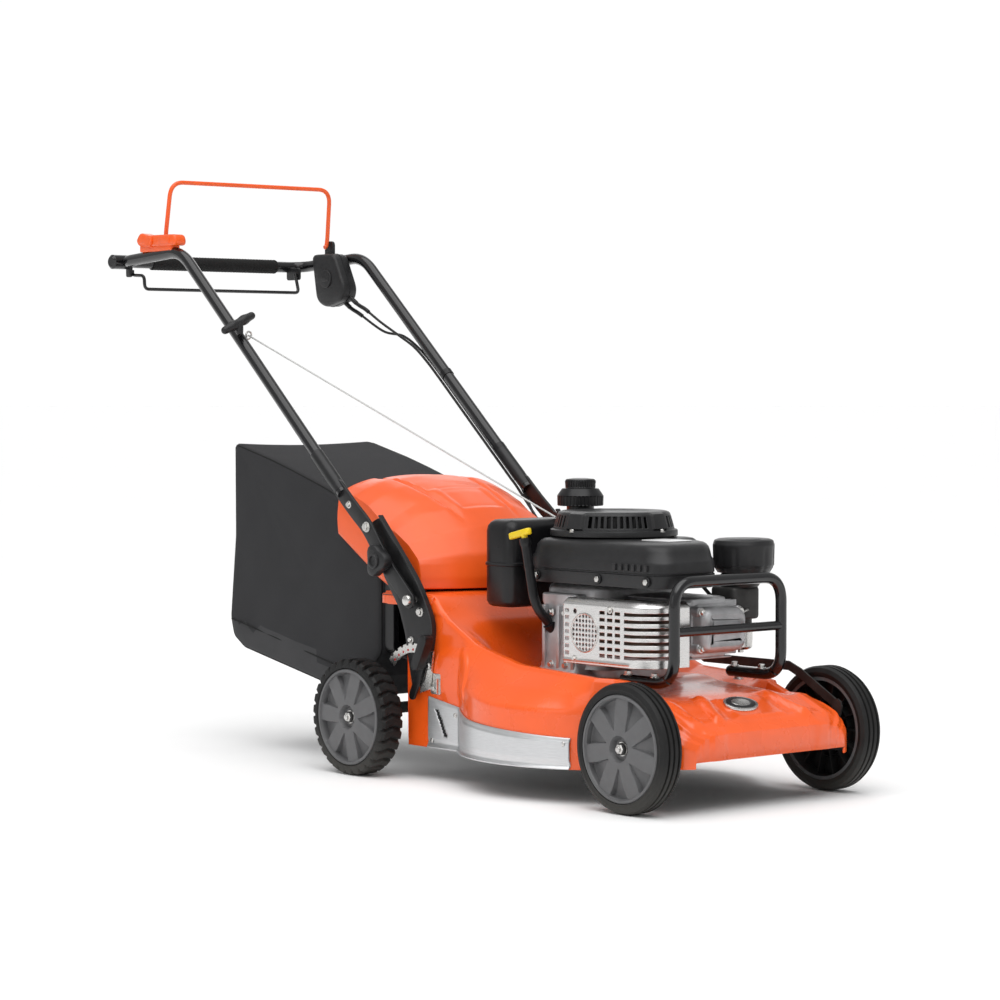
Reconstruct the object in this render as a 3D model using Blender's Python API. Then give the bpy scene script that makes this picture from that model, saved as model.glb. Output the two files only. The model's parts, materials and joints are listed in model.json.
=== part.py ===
"""Walk-behind lawn mower: deck, engine, wheels, handle, controls and grass bag.

Metres, +Z up, +X forward, +Y to the operator's left. The origin is on the ground,
below the middle of the whole mower.
"""
import math

import bmesh
import bpy
import numpy as np
from mathutils import Matrix, Vector

GAP = 0.0003

# Wheels: axle places, radii, and the inner and outer faces measured from the middle plane
FRONT_AXLE = (0.684, 0.105)
REAR_AXLE = (0.007, 0.1017)
FRONT_RADIUS = 0.105
REAR_RADIUS = 0.1017
FRONT_FACES = (0.207, 0.251)
REAR_FACES = (0.225, 0.272)
STUB_RADIUS = 0.006
BORE_RADIUS = 0.0063

# Height adjustment: the cranks turn about these lines
FRONT_PIVOT = (0.7305, 0.1205)
REAR_PIVOT = (0.0535, 0.1172)
LEVER_PIVOT = (0.118, 0.145)
LINK_PIN = (0.735, 0.147)
LINK_Z = 0.207

# Deck
DECK_WALL = 0.004
DECK_REAR = 0.020
DECK_FRONT = 0.7775
BLADE_CENTRE = 0.400
HOUSING_RADIUS = 0.262
ENGINE_SEAT = 0.190
TOWER_HALF_WIDTH = 0.200

# Handle
TUBE_RADIUS = 0.011
HANDLE_Y = 0.218
HANDLE_FOOT = (-0.060, 0.479)
HANDLE_BEND = (-0.573, 0.936)
HANDLE_REAR = (-0.775, 0.921)
HANDLE_PIVOT = (0.116, 0.310)
HANDLE_BOLT = (0.000, 0.433)
KNOB_CENTRE = (0.044, 0.376)

# Controls
BAIL_PIVOT = (-0.660, 0.957)
BAIL_HALF_WIDTH = 0.195
BAIL_TOP = (-0.645, 1.071)
DRIVE_BAIL_PIVOT = (-0.771, 0.898)
ROPE_EYE_Y = -0.196
ROPE_EYE_ALONG = 0.450

# Engine
CRANK_RADIUS = 0.0125
RECOIL_RADIUS = 0.109
CAGE_X = 0.677
CAGE_HALF_WIDTH = 0.123
CAGE_RADIUS = 0.0095
CAGE_FOOT_Z = 0.199

# Flap and bag
FLAP_PIVOT = (0.146, 0.338)
FLAP_HALF_WIDTH = 0.178
FLAP_WALL = 0.003
BAG_HALF_WIDTH = 0.165
BAG_WALL = 0.004

ORANGE = (0.90, 0.12, 0.015)
BLACK = (0.012, 0.012, 0.013)
CHARCOAL = (0.028, 0.028, 0.030)


def material(name, colour, roughness, metallic=0.0):
    """A plain principled material."""
    made = bpy.data.materials.new(name)
    made.use_nodes = True
    shader = made.node_tree.nodes["Principled BSDF"]
    shader.inputs["Base Color"].default_value = (*colour, 1.0)
    shader.inputs["Roughness"].default_value = roughness
    shader.inputs["Metallic"].default_value = metallic
    return made


def solid(name, verts, faces, look, sharp=35.0):
    """One closed mesh object with outward faces, smooth where it is round."""
    mesh = bpy.data.meshes.new(name)
    mesh.from_pydata([tuple(map(float, v)) for v in verts], [], faces)
    built = bmesh.new()
    built.from_mesh(mesh)
    bmesh.ops.remove_doubles(built, verts=built.verts, dist=1e-6)
    bmesh.ops.recalc_face_normals(built, faces=built.faces)
    built.to_mesh(mesh)
    built.free()
    mesh.shade_smooth()
    mesh.set_sharp_from_angle(angle=math.radians(sharp))
    made = bpy.data.objects.new(name, mesh)
    bpy.context.collection.objects.link(made)
    if look is not None:
        mesh.materials.append(look)
    return made


def cutter(made):
    """Mark an object as a tool for another object's Boolean."""
    made.hide_render = True
    made.display_type = "WIRE"
    return made


def boolean(target, tool, operation):
    """Cut or join one tool."""
    step = target.modifiers.new(tool.name, "BOOLEAN")
    step.operation = operation
    step.solver = "EXACT"
    step.object = cutter(tool)
    return target


def cut(target, *tools):
    """Take the tools away from the target."""
    for tool in tools:
        boolean(target, tool, "DIFFERENCE")
    return target


def join(target, *tools):
    """Add the tools to the target."""
    for tool in tools:
        boolean(target, tool, "UNION")
    return target


def bevel(target, width, segments=2, angle=35.0):
    """Round the sharp edges."""
    step = target.modifiers.new("bevel", "BEVEL")
    step.width = width
    step.segments = segments
    step.limit_method = "ANGLE"
    step.angle_limit = math.radians(angle)
    return target


def rings_to_faces(count, size, closed=False):
    """Quads between consecutive rings of equal size, with end caps unless closed."""
    faces = []
    for i in range(count if closed else count - 1):
        first = i * size
        second = ((i + 1) % count) * size
        for j in range(size):
            k = (j + 1) % size
            faces.append((first + j, first + k, second + k, second + j))
    if not closed:
        faces.append(tuple(range(size)))
        faces.append(tuple((count - 1) * size + j for j in range(size)))
    return faces


def place(along, first, second, axis):
    """A point from its place along an axis and its two coordinates across it."""
    if axis == "X":
        return (along, first, second)
    if axis == "Y":
        return (first, along, second)
    return (first, second, along)


def turned(name, outline, centre, axis, look, segments=32, ring=False):
    """A turned piece: outline points are (radius, place along the axis)."""
    verts = []
    for radius, along in outline:
        for i in range(segments):
            angle = 2 * math.pi * i / segments - math.pi / 2
            across = radius * math.cos(angle)
            up = radius * math.sin(angle)
            verts.append(place(along, centre[0] + across, centre[1] + up, axis))
    return solid(name, verts, rings_to_faces(len(outline), segments, ring), look)


def prism(name, outline, axis, low, high, look):
    """A flat outline pushed from low to high along an axis."""
    verts = [place(along, u, v, axis) for along in (low, high) for u, v in outline]
    return solid(name, verts, rings_to_faces(2, len(outline)), look)


def block(name, low, high, look):
    """A box between two corners."""
    outline = [(low[0], low[1]), (high[0], low[1]), (high[0], high[1]), (low[0], high[1])]
    return prism(name, outline, "Z", low[2], high[2], look)


def rod(name, centre, axis, low, high, radius, look=None, segments=20):
    """A round bar."""
    return turned(name, [(radius, low), (radius, high)], centre, axis, look, segments)


def rounded(points, radius, steps=5):
    """A route with its inner corners turned into arcs of about the given radius."""
    points = [Vector(p) for p in points]
    route = [points[0]]
    for before, corner, after in zip(points, points[1:], points[2:]):
        back = (before - corner).normalized()
        ahead = (after - corner).normalized()
        half = back.angle(ahead) / 2
        reach = min(radius / math.tan(half), 0.48 * (before - corner).length,
                    0.48 * (after - corner).length)
        start = corner + back * reach
        end = corner + ahead * reach
        for i in range(steps + 1):
            t = i / steps
            route.append(start * (1 - t) ** 2 + corner * 2 * t * (1 - t) + end * t ** 2)
    route.append(points[-1])
    return route


def swept(name, route, radius, look, sides=10, closed=False):
    """A round tube along a route."""
    route = [Vector(p) for p in route]
    count = len(route)
    side = None
    verts = []
    for i, point in enumerate(route):
        before = route[(i - 1) % count] if closed or i > 0 else point
        after = route[(i + 1) % count] if closed or i < count - 1 else point
        ahead = (after - before).normalized()
        if side is None:
            side = ahead.orthogonal().normalized()
        side = (side - ahead * side.dot(ahead)).normalized()
        other = ahead.cross(side)
        for j in range(sides):
            angle = 2 * math.pi * j / sides
            verts.append(point + side * radius * math.cos(angle) + other * radius * math.sin(angle))
    return solid(name, verts, rings_to_faces(count, sides, closed), look, 50.0)


def smooth_route(points, count):
    """A smooth curve through the route's own points, read at even steps."""
    points = np.array(points, dtype=float)
    steps = np.linspace(0, len(points) - 1, count)
    index = np.minimum(steps.astype(int), len(points) - 2)
    t = (steps - index)[:, None]
    padded = np.vstack([2 * points[0] - points[1], points, 2 * points[-1] - points[-2]])
    a, b, c, d = (padded[index + k] for k in range(4))
    return 0.5 * (2 * b + (c - a) * t + (2 * a - 5 * b + 4 * c - d) * t ** 2
                  + (3 * b - a - 3 * c + d) * t ** 3)


def cable(name, points, radius, look, count=40):
    """A cable: a bevelled curve along a smooth route."""
    curve = bpy.data.curves.new(name, "CURVE")
    curve.dimensions = "3D"
    curve.bevel_depth = radius
    curve.bevel_resolution = 2
    curve.use_fill_caps = True
    line = curve.splines.new("POLY")
    route = smooth_route(points, count)
    line.points.add(count - 1)
    for point, place_at in zip(line.points, route):
        point.co = (*place_at, 1.0)
    curve.materials.append(look)
    made = bpy.data.objects.new(name, curve)
    bpy.context.collection.objects.link(made)
    return made


def set_origin(made, point):
    """Move an object's origin onto its joint axis."""
    shift = Vector(point)
    made.data.transform(Matrix.Translation(-shift))
    made.location = shift
    return made


def along_handle(distance, below=0.0):
    """A point at a distance up the handle tube from its foot, some way below its line."""
    foot = Vector((HANDLE_FOOT[0], HANDLE_FOOT[1]))
    bend = Vector((HANDLE_BEND[0], HANDLE_BEND[1]))
    ahead = (bend - foot).normalized()
    down = Vector((ahead.y, -ahead.x))
    if down.y > 0:
        down = -down
    point = foot + ahead * distance + down * below
    return point.x, point.y


def arc(centre, radius, start, end, count):
    """Points of an arc, angles in degrees."""
    angles = np.radians(np.linspace(start, end, count))
    return [(centre[0] + radius * math.cos(a), centre[1] + radius * math.sin(a)) for a in angles]


# ---------------------------------------------------------------- deck

def ridge_height(x):
    """Height of the deck's side ridge."""
    return float(np.interp(x, [0.02, 0.140, 0.160, 0.190, 0.273, 0.376, 0.506, 0.617, 0.660, 0.705,
                               0.745, 0.765, DECK_FRONT],
                           [0.322, 0.322, 0.320, 0.284, 0.240, 0.216, 0.210, 0.204, 0.188, 0.164,
                            0.147, 0.136, 0.118]))


def middle_height(x):
    """Height of the deck's middle."""
    return float(np.interp(x, [0.02, 0.145, 0.170, 0.215, 0.265, 0.510, 0.540, 0.660, 0.700, 0.735,
                               0.765, DECK_FRONT],
                           [0.322, 0.322, 0.305, 0.272, ENGINE_SEAT, ENGINE_SEAT, 0.182, 0.176,
                            0.169, 0.153, 0.143, 0.122]))


def skirt_half_width(x):
    """Half the deck's width at its lower edge."""
    if 0.20 < x < 0.565:
        across = HOUSING_RADIUS ** 2 - (x - BLADE_CENTRE) ** 2
        return max(math.sqrt(max(across, 0.0)), TOWER_HALF_WIDTH + 0.002)
    return float(np.interp(x, [0.02, 0.200, 0.565, 0.590, 0.700, 0.725, 0.755, 0.770, DECK_FRONT],
                           [0.200, 0.202, 0.202, 0.180, 0.180, 0.193, 0.195, 0.185, 0.168]))


def ridge_half_width(x):
    """Half the width between the side ridges."""
    return min(skirt_half_width(x) - 0.004, 0.198) if x < 0.62 else skirt_half_width(x) - 0.014


def skirt_bottom(x):
    """Height of the deck's lower edge."""
    if x < 0.0905:
        return 0.300
    return float(np.interp(x, [0.091, 0.560, 0.640, 0.700], [0.056, 0.056, 0.066, 0.075]))


def deck_ring(x, inset, drop):
    """Closed cross-section of the deck; inset makes the inner surface."""
    ridge = ridge_half_width(x) - inset
    skirt = skirt_half_width(x) - inset
    top = ridge_height(x) - inset
    middle = middle_height(x) - inset
    bottom = skirt_bottom(x) - drop
    valley = min(0.130, ridge - 0.035)
    shoulder = bottom + 0.62 * (top - bottom)
    left_top = top - 0.018 * float(np.interp(x, [0.36, 0.42, 0.66, 0.70], [0, 1, 1, 0]))
    half = [(0.0, middle), (valley - 0.02, middle), (valley + 0.012, middle + 0.25 * (top - middle)),
            (ridge - 0.016, top - 0.003), (ridge - 0.004, top - 0.003), (ridge, top - 0.010),
            (0.5 * (ridge + skirt), 0.5 * (top + shoulder)), (skirt, shoulder), (skirt, bottom)]
    right = [(-y, z) for y, z in half]
    left = [(y, z - (top - left_top) * (0.0 if y < valley else 1.0 if z > shoulder else 0.0))
            for y, z in half[1:]]
    return [(x, y, z) for y, z in list(reversed(left)) + right]


DECK_STATIONS = (0.020, 0.090, 0.091, 0.145, 0.165, 0.190, 0.215, 0.240, 0.265, 0.300, 0.350, 0.400,
                 0.450, 0.500, 0.540, 0.565, 0.590, 0.625, 0.660, 0.700, 0.725, 0.745, 0.758,
                 0.770, DECK_FRONT)


def deck_loft(name, inset, drop, stations, look):
    """The deck's outer or inner surface as a closed solid."""
    rings = [deck_ring(x, inset, drop) for x in stations]
    verts = [v for ring in rings for v in ring]
    return solid(name, verts, rings_to_faces(len(rings), len(rings[0])), look, 40.0)


def deck():
    """Pressed steel deck, open below and behind."""
    paint = material("orange_paint", ORANGE, 0.30)
    shell = deck_loft("deck_shell", 0.0, 0.0, DECK_STATIONS, paint)
    inner_stations = (DECK_REAR - 0.05,) + DECK_STATIONS[1:-1] + (DECK_FRONT - DECK_WALL,)
    cut(shell, deck_loft("deck_inside", DECK_WALL, 0.09, inner_stations, None),
        rod("crank_hole", (BLADE_CENTRE, 0.0), "Z", 0.15, 0.22, 0.030),
        rod("front_rod_hole", FRONT_PIVOT, "Y", -0.23, 0.23, 0.009))
    return shell


def trim(name, side):
    """Bare metal guard strip around one side of the blade housing."""
    stations = np.linspace(0.150, 0.540, 18)
    inner, outer = [], []
    for x in stations:
        half = skirt_half_width(x)
        inner.append((x, side * (half + 0.0012)))
        outer.append((x, side * (half + 0.0042)))
    tops = np.interp(stations, [0.150, 0.185, 0.30, 0.540], [0.146, 0.140, 0.122, 0.108])
    verts = []
    for (xi, yi), (xo, yo), top in zip(inner, outer, tops):
        low = 0.0565
        verts += [(xi, yi, low), (xo, yo, low), (xo, yo, top), (xi, yi, top)]
    return solid(name, verts, rings_to_faces(len(stations), 4),
                 material("bright_trim", (0.62, 0.63, 0.64), 0.32, 0.9))


def chute():
    """Sloping floor that lifts the clippings from the housing to the bag."""
    top = [(0.030, 0.2120), (0.090, 0.2050), (0.150, 0.1850), (0.190, 0.1500), (0.215, 0.1100)]
    outline = top + [(x - 0.001, z - 0.004) for x, z in reversed(top)]
    floor = prism("discharge_chute", outline, "Y", -0.190, 0.190,
                  material("chute_steel", (0.10, 0.10, 0.11), 0.5, 0.6))
    return cut(floor, block("belt_slot", (0.150, -0.044, 0.1460), (0.220, 0.044, 0.1660), None))


def bracket(name, side):
    """Side plate that carries the handle, with its pivot bolt."""
    outline = [(-0.012, 0.438), (0.020, 0.452), (0.065, 0.405), (0.120, 0.347), (0.145, 0.311),
               (0.166, 0.269), (0.161, 0.226), (0.142, 0.165), (0.110, 0.150), (0.098, 0.200),
               (0.088, 0.250), (0.070, 0.295), (0.030, 0.345), (0.005, 0.390)]
    low, high = sorted((side * 0.2035, side * 0.2065))
    plate = prism(name, outline, "Y", low, high, material("black_steel", BLACK, 0.35, 0.4))
    bolt_outline = [(0.0055, side * 0.2050), (0.0055, side * 0.2223), (0.0100, side * 0.2223),
                    (0.0100, side * 0.2280), (0.0060, side * 0.2300)]
    join(plate, turned(name + "_bolt", bolt_outline, HANDLE_PIVOT, "Y", None, 16))
    return plate


def quadrant():
    """Notched plate that the height lever clicks into."""
    outer = arc(LEVER_PIVOT, 0.090, 55, 140, 18)
    inner = arc(LEVER_PIVOT, 0.074, 140, 55, 18)
    plate = prism("height_quadrant", outer + inner, "Y", -0.2105, -0.2068,
                  material("zinc_plate", (0.45, 0.45, 0.46), 0.4, 0.9))
    arm = prism("quadrant_arm", [(0.134, 0.150), (0.160, 0.158), (0.170, 0.224), (0.150, 0.224)],
                "Y", -0.2105, -0.2068, None)
    join(plate, arm)
    for i in range(7):
        x, z = arc(LEVER_PIVOT, 0.090, 72 + 10 * i, 72 + 10 * i, 1)[0]
        cut(plate, rod("notch_%d" % i, (x, z), "Y", -0.215, -0.200, 0.0035, None, 8))
    return plate


# ---------------------------------------------------------------- wheels

def tyre(name, centre, radius, faces, side, cover):
    """Solid rubber tyre."""
    inner, outer = faces
    crown = 0.004
    outline = [(cover + 2 * GAP, inner + 0.003), (radius - 0.010, inner), (radius - crown, inner + 0.004),
               (radius, inner + 0.012), (radius, outer - 0.012), (radius - crown, outer - 0.004),
               (radius - 0.010, outer), (cover + 2 * GAP, outer - 0.003)]
    outline = [(r, side * y) for r, y in outline]
    made = turned(name, outline, centre, "Y", material("rubber", (0.02, 0.02, 0.02), 0.7), 36, True)
    return set_origin(made, (centre[0], 0.0, centre[1]))


def hub(name, centre, faces, side, cover, geared):
    """Wheel disc with its boss and rim, open towards the deck."""
    inner, outer = faces
    web = outer - 0.008
    ring_gear = [(0.0660, web - 0.004), (0.0660, inner + 0.002), (0.0610, inner + 0.002),
                 (0.0610, web - 0.004)]
    outline = [(BORE_RADIUS, inner + 0.003), (0.0180, inner + 0.003), (0.0180, web - 0.004)]
    outline += list(reversed(ring_gear)) if geared else []
    outline += [(cover - 0.008, web - 0.004), (cover - 0.006, inner + 0.004), (cover, inner + 0.004),
                (cover, outer - 0.002), (cover - 0.006, outer - 0.002), (0.0200, outer - 0.004),
                (0.0170, outer - 0.010), (BORE_RADIUS, outer - 0.010)]
    outline = [(r, side * y) for r, y in outline]
    made = turned(name, outline, centre, "Y", material("wheel_grey", (0.12, 0.12, 0.125), 0.5),
                  24, True)
    return set_origin(made, (centre[0], 0.0, centre[1]))


def stub(name, centre, start, outer, side):
    """Stub axle with its hub nut, joined to its arm at the start."""
    outline = [(STUB_RADIUS, start), (STUB_RADIUS, outer - 0.0097), (0.0100, outer - 0.0097),
               (0.0100, outer - 0.0035), (0.0070, outer - 0.0020)]
    return turned(name, [(r, side * y) for r, y in outline], centre, "Y", None, 16)


def crank_arm(name, points, half, low, high):
    """Flat arm with round ends through the given points."""
    outline = []
    route = [Vector(p) for p in points]
    for sign, order in ((1, route), (-1, list(reversed(route)))):
        for i, point in enumerate(order):
            before = order[max(i - 1, 0)]
            after = order[min(i + 1, len(order) - 1)]
            ahead = (after - before).normalized()
            normal = Vector((-ahead.y, ahead.x))
            if i == len(order) - 1:
                for k in range(5):
                    turn = math.pi / 2 - math.pi * k / 4
                    outline.append(tuple(point + half * (normal * math.sin(turn)
                                                         + ahead * math.cos(turn))))
            elif i > 0:
                outline.append(tuple(point + normal * half))
    return prism(name, outline, "Y", low, high, None)


def front_axle():
    """Front height crank: cross rod, two flat arms and the stubs that carry the wheels."""
    steel = material("axle_steel", (0.30, 0.30, 0.31), 0.42, 0.8)
    body = rod("front_axle", FRONT_PIVOT, "Y", -0.1995, 0.1995, STUB_RADIUS, steel, 16)
    for side in (-1, 1):
        low, high = sorted((side * 0.1960, side * 0.1996))
        points = [FRONT_AXLE, FRONT_PIVOT]
        if side > 0:
            points.append((LINK_PIN[0], LINK_PIN[1] + 0.002))
        join(body, crank_arm("front_arm_%d" % (side + 1), points, 0.011, low, high),
             stub("front_stub_%d" % (side + 1), FRONT_AXLE, 0.1970, FRONT_FACES[1], side))
    return set_origin(body, (FRONT_PIVOT[0], 0.0, FRONT_PIVOT[1]))


def link_bar():
    """Bent flat bar that ties the front crank to the rear one."""
    made = crank_arm("height_link_bar", [(0.415, LINK_Z), (0.620, LINK_Z), (0.645, LINK_Z - 0.010),
                                         LINK_PIN], 0.008, 0.2000, 0.2030)
    made.data.materials.append(material("axle_steel", (0.30, 0.30, 0.31), 0.42, 0.8))
    return made


def rear_axle():
    """Rear height crank: torsion tube around the drive shaft, arms and stubs."""
    steel = material("dark_steel", (0.10, 0.10, 0.11), 0.45, 0.7)
    outline = [(0.0062, -0.2190), (0.0100, -0.2190), (0.0100, 0.2190), (0.0062, 0.2190)]
    body = turned("rear_axle", outline, REAR_PIVOT, "Y", steel, 20, True)
    for side in (-1, 1):
        low, high = sorted((side * 0.2130, side * 0.2185))
        arm = crank_arm("rear_arm_%d" % (side + 1), [REAR_AXLE, REAR_PIVOT], 0.013, low, high)
        join(body, arm, stub("rear_stub_%d" % (side + 1), REAR_AXLE, 0.2140, REAR_FACES[1], side))
    cut(body, rod("shaft_clearance", REAR_PIVOT, "Y", -0.24, 0.24, 0.0062))
    return set_origin(body, (REAR_PIVOT[0], 0.0, REAR_PIVOT[1]))


def drive_shaft():
    """Shaft through the torsion tube with a pinion for each rear wheel."""
    outline = [(0.0115, -0.2360), (0.0115, -0.2275), (0.0057, -0.2275), (0.0057, 0.2275),
               (0.0115, 0.2275), (0.0115, 0.2360)]
    made = turned("drive_shaft", outline, REAR_PIVOT, "Y",
                  material("shaft_steel", (0.42, 0.42, 0.43), 0.35, 0.9), 16)
    return set_origin(made, (REAR_PIVOT[0], 0.0, REAR_PIVOT[1]))


def height_lever():
    """Hand lever of the height adjustment."""
    tip = (0.158, 0.228)
    lever = crank_arm("height_lever", [LEVER_PIVOT, (0.140, 0.190), tip], 0.008, -0.2160, -0.2112)
    lever.data.materials.append(material("black_lever", BLACK, 0.4))
    grip = crank_arm("lever_grip", [(0.148, 0.206), (0.166, 0.242)], 0.009, -0.2330, -0.2150)
    join(lever, grip)
    return set_origin(lever, (LEVER_PIVOT[0], 0.0, LEVER_PIVOT[1]))


# ---------------------------------------------------------------- drive and blade

def crankshaft():
    """Engine shaft with the drive pulley and blade adapter turned on it."""
    outline = [(0.0280, 0.0760), (0.0280, 0.0960), (CRANK_RADIUS, 0.0960), (CRANK_RADIUS, 0.1500),
               (0.0300, 0.1500), (0.0240, 0.1560), (0.0300, 0.1620), (CRANK_RADIUS, 0.1620),
               (CRANK_RADIUS, 0.4200)]
    made = turned("crankshaft", outline, (BLADE_CENTRE, 0.0), "Z",
                  material("shaft_steel", (0.42, 0.42, 0.43), 0.35, 0.9), 24)
    return set_origin(made, (BLADE_CENTRE, 0.0, 0.0))


def flywheel():
    """Flywheel with its cooling fan ring."""
    bore = CRANK_RADIUS + GAP
    outline = [(bore, 0.3800), (0.0830, 0.3800), (0.0830, 0.4050), (0.0700, 0.4050),
               (0.0650, 0.3920), (bore, 0.3920)]
    made = turned("flywheel", outline, (BLADE_CENTRE, 0.0), "Z",
                  material("cast_grey", (0.30, 0.30, 0.31), 0.6, 0.7), 32, True)
    return set_origin(made, (BLADE_CENTRE, 0.0, 0.0))


def blade():
    """Steel cutting blade with lifted tips."""
    half = 0.255
    outline = [(-half, 0.0790), (-0.150, 0.0705), (0.150, 0.0705), (half, 0.0790), (half, 0.0820),
               (0.150, 0.0755), (-0.150, 0.0755), (-half, 0.0820)]
    outline = [(BLADE_CENTRE + x, z) for x, z in outline]
    made = prism("cutting_blade", outline, "Y", -0.028, 0.028,
                 material("blade_steel", (0.25, 0.25, 0.26), 0.4, 0.9))
    cut(made, rod("blade_hole", (BLADE_CENTRE, 0.0), "Z", 0.05, 0.09, 0.0066))
    return set_origin(made, (BLADE_CENTRE, 0.0, 0.0))


def blade_bolt():
    """Bolt that holds the blade up against its adapter."""
    outline = [(0.0110, 0.0620), (0.0160, 0.0640), (0.0160, 0.0702), (0.0062, 0.0702),
               (0.0062, 0.0757)]
    made = turned("blade_bolt", outline, (BLADE_CENTRE, 0.0), "Z",
                  material("bolt_zinc", (0.55, 0.55, 0.56), 0.35, 0.9), 6)
    return set_origin(made, (BLADE_CENTRE, 0.0, 0.0))


GEARBOX_PULLEY = (0.110, 0.0)


def gearbox():
    """Drive gearbox around the rear shaft."""
    made = block("gearbox", (0.020, -0.040, 0.098), (0.135, 0.040, 0.146),
                 material("gearbox_grey", (0.20, 0.20, 0.21), 0.55, 0.4))
    cut(made, rod("tube_clearance", REAR_PIVOT, "Y", -0.1, 0.1, 0.0104))
    return made


def gearbox_pulley():
    """Belt pulley on the gearbox input."""
    outline = [(0.0330, 0.1464), (0.0330, 0.1500), (0.0270, 0.1545), (0.0330, 0.1590),
               (0.0330, 0.1620)]
    made = turned("gearbox_pulley", outline, GEARBOX_PULLEY, "Z",
                  material("shaft_steel", (0.42, 0.42, 0.43), 0.35, 0.9), 24)
    return set_origin(made, (*GEARBOX_PULLEY, 0.0))


def drive_belt():
    """Belt from the engine pulley to the gearbox pulley."""
    z = 0.1551
    radius = 0.0340

    def loop(r):
        right = arc((BLADE_CENTRE, 0.0), r, -90, 90, 12)
        left = arc(GEARBOX_PULLEY, r, 90, 270, 12)
        return right + left

    outer = loop(radius + 0.004)
    inner = loop(radius)
    size = len(outer)
    verts = []
    for points, height in ((outer, z - 0.004), (outer, z + 0.004), (inner, z + 0.004),
                           (inner, z - 0.004)):
        verts += [(x, y, height) for x, y in points]
    return solid("drive_belt", verts, rings_to_faces(4, size, True),
                 material("belt_rubber", (0.02, 0.02, 0.02), 0.8))


# ---------------------------------------------------------------- engine

def engine_block():
    """Crankcase with the finned cylinder cast to its front."""
    metal = material("cast_aluminium", (0.55, 0.55, 0.56), 0.45, 0.8)
    low = ENGINE_SEAT + GAP
    body = prism("engine_block", [(0.325, -0.080), (0.345, -0.105), (0.460, -0.105),
                                  (0.485, -0.080), (0.485, 0.080), (0.460, 0.105),
                                  (0.345, 0.105), (0.325, 0.080)], "Z", low, 0.348, metal)
    bevel(body, 0.004, 1)
    foot = prism("sump_flange", arc((0.400, 0.0), 0.106, 0, 345, 24), "Z", low, low + 0.016, None)
    comb = [(0.480, 0.228)]
    fins = 7
    pitch = (0.338 - 0.228) / fins
    for i in range(fins):
        z = 0.228 + pitch * i
        comb += [(0.628, z), (0.628, z + 0.45 * pitch), (0.520, z + 0.45 * pitch), (0.520, z + pitch)]
    comb[-1] = (0.520, comb[-2][1] + 0.001)
    comb.append((0.480, comb[-1][1]))
    barrel = prism("cylinder", comb, "Y", -0.055, 0.065, None)
    core = block("cylinder_core", (0.470, -0.036, 0.235), (0.628, 0.046, 0.330), None)
    join(body, foot, barrel, core)
    cut(body, rod("crank_bore", (BLADE_CENTRE, 0.0), "Z", 0.10, 0.40, CRANK_RADIUS + GAP, None, 24))
    return body


def rocker_cover():
    """Pressed cover over the valve gear."""
    outline = [(-0.042, 0.250), (-0.032, 0.238), (0.046, 0.238), (0.066, 0.250), (0.066, 0.306),
               (0.050, 0.321), (-0.030, 0.321), (-0.042, 0.308)]
    made = prism("rocker_cover", outline, "X", 0.6283, 0.6620,
                 material("cast_aluminium", (0.55, 0.55, 0.56), 0.4, 0.85))
    return bevel(made, 0.004, 2)


def spark_plug():
    """Spark plug with its rubber boot."""
    outline = [(0.0060, 0.0653), (0.0060, 0.0720), (0.0100, 0.0720), (0.0100, 0.1000),
               (0.0070, 0.1040)]
    return turned("spark_plug", outline, (0.600, 0.262), "Y",
                  material("boot_rubber", BLACK, 0.6), 14)


def muffler():
    """Silencer box on the right of the cylinder."""
    made = block("muffler", (0.4875, -0.136, 0.236), (0.620, -0.0553, 0.326),
                 material("muffler_steel", (0.09, 0.09, 0.09), 0.6, 0.6))
    return bevel(made, 0.010, 2)


def muffler_guard():
    """Sheet metal guard around the silencer."""
    outer = ([(0.446, -0.156)] + arc((0.602, -0.106), 0.050, -90, 0, 8) + [(0.652, -0.064)])
    inner = ([(0.650, -0.064)] + arc((0.602, -0.106), 0.048, 0, -90, 8) + [(0.446, -0.154)])
    metal = material("guard_steel", (0.66, 0.66, 0.67), 0.3, 0.95)
    wall = prism("muffler_guard", outer + inner, "Z", 0.222, 0.328, metal)
    lid = prism("guard_lid", outer + [(0.446, -0.064)], "Z", 0.3275, 0.3300, None)
    cut(lid, block("lid_window", (0.420, -0.120, 0.31), (0.640, -0.050, 0.35), None))
    join(wall, lid)
    for i in range(6):
        z = 0.232 + 0.014 * i
        cut(wall, block("slot_%d" % i, (0.545, -0.165, z), (0.600, -0.145, z + 0.004), None))
    return wall


def shroud():
    """Blower housing over the flywheel, open below."""
    plastic = material("charcoal_plastic", CHARCOAL, 0.42)
    low_ring = [(0.304, -0.100), (0.337, -0.132), (0.630, -0.132), (0.655, -0.108), (0.655, -0.010),
                (0.610, 0.034), (0.525, 0.045), (0.500, 0.120), (0.330, 0.120), (0.304, 0.095)]
    centre = Vector((0.440, 0.0))
    rings = []
    for z, scale in ((0.3510, 1.0), (0.3920, 1.0), (0.3960, 0.965), (0.4130, 0.935), (0.4260, 0.84)):
        for x, y in low_ring:
            point = centre + (Vector((x, y)) - centre) * scale
            rings.append((point.x, point.y, z))
    body = solid("blower_shroud", rings, rings_to_faces(5, len(low_ring)), plastic)
    inner = []
    for z, scale in ((0.3400, 0.972), (0.3900, 0.972), (0.3930, 0.937), (0.4110, 0.905), (0.4220, 0.82)):
        for x, y in low_ring:
            point = centre + (Vector((x, y)) - centre) * scale
            inner.append((point.x, point.y, z))
    cut(body, solid("shroud_inside", inner, rings_to_faces(5, len(low_ring)), None),
        rod("recoil_opening", (BLADE_CENTRE, 0.0), "Z", 0.40, 0.44, 0.072))
    return body


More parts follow.
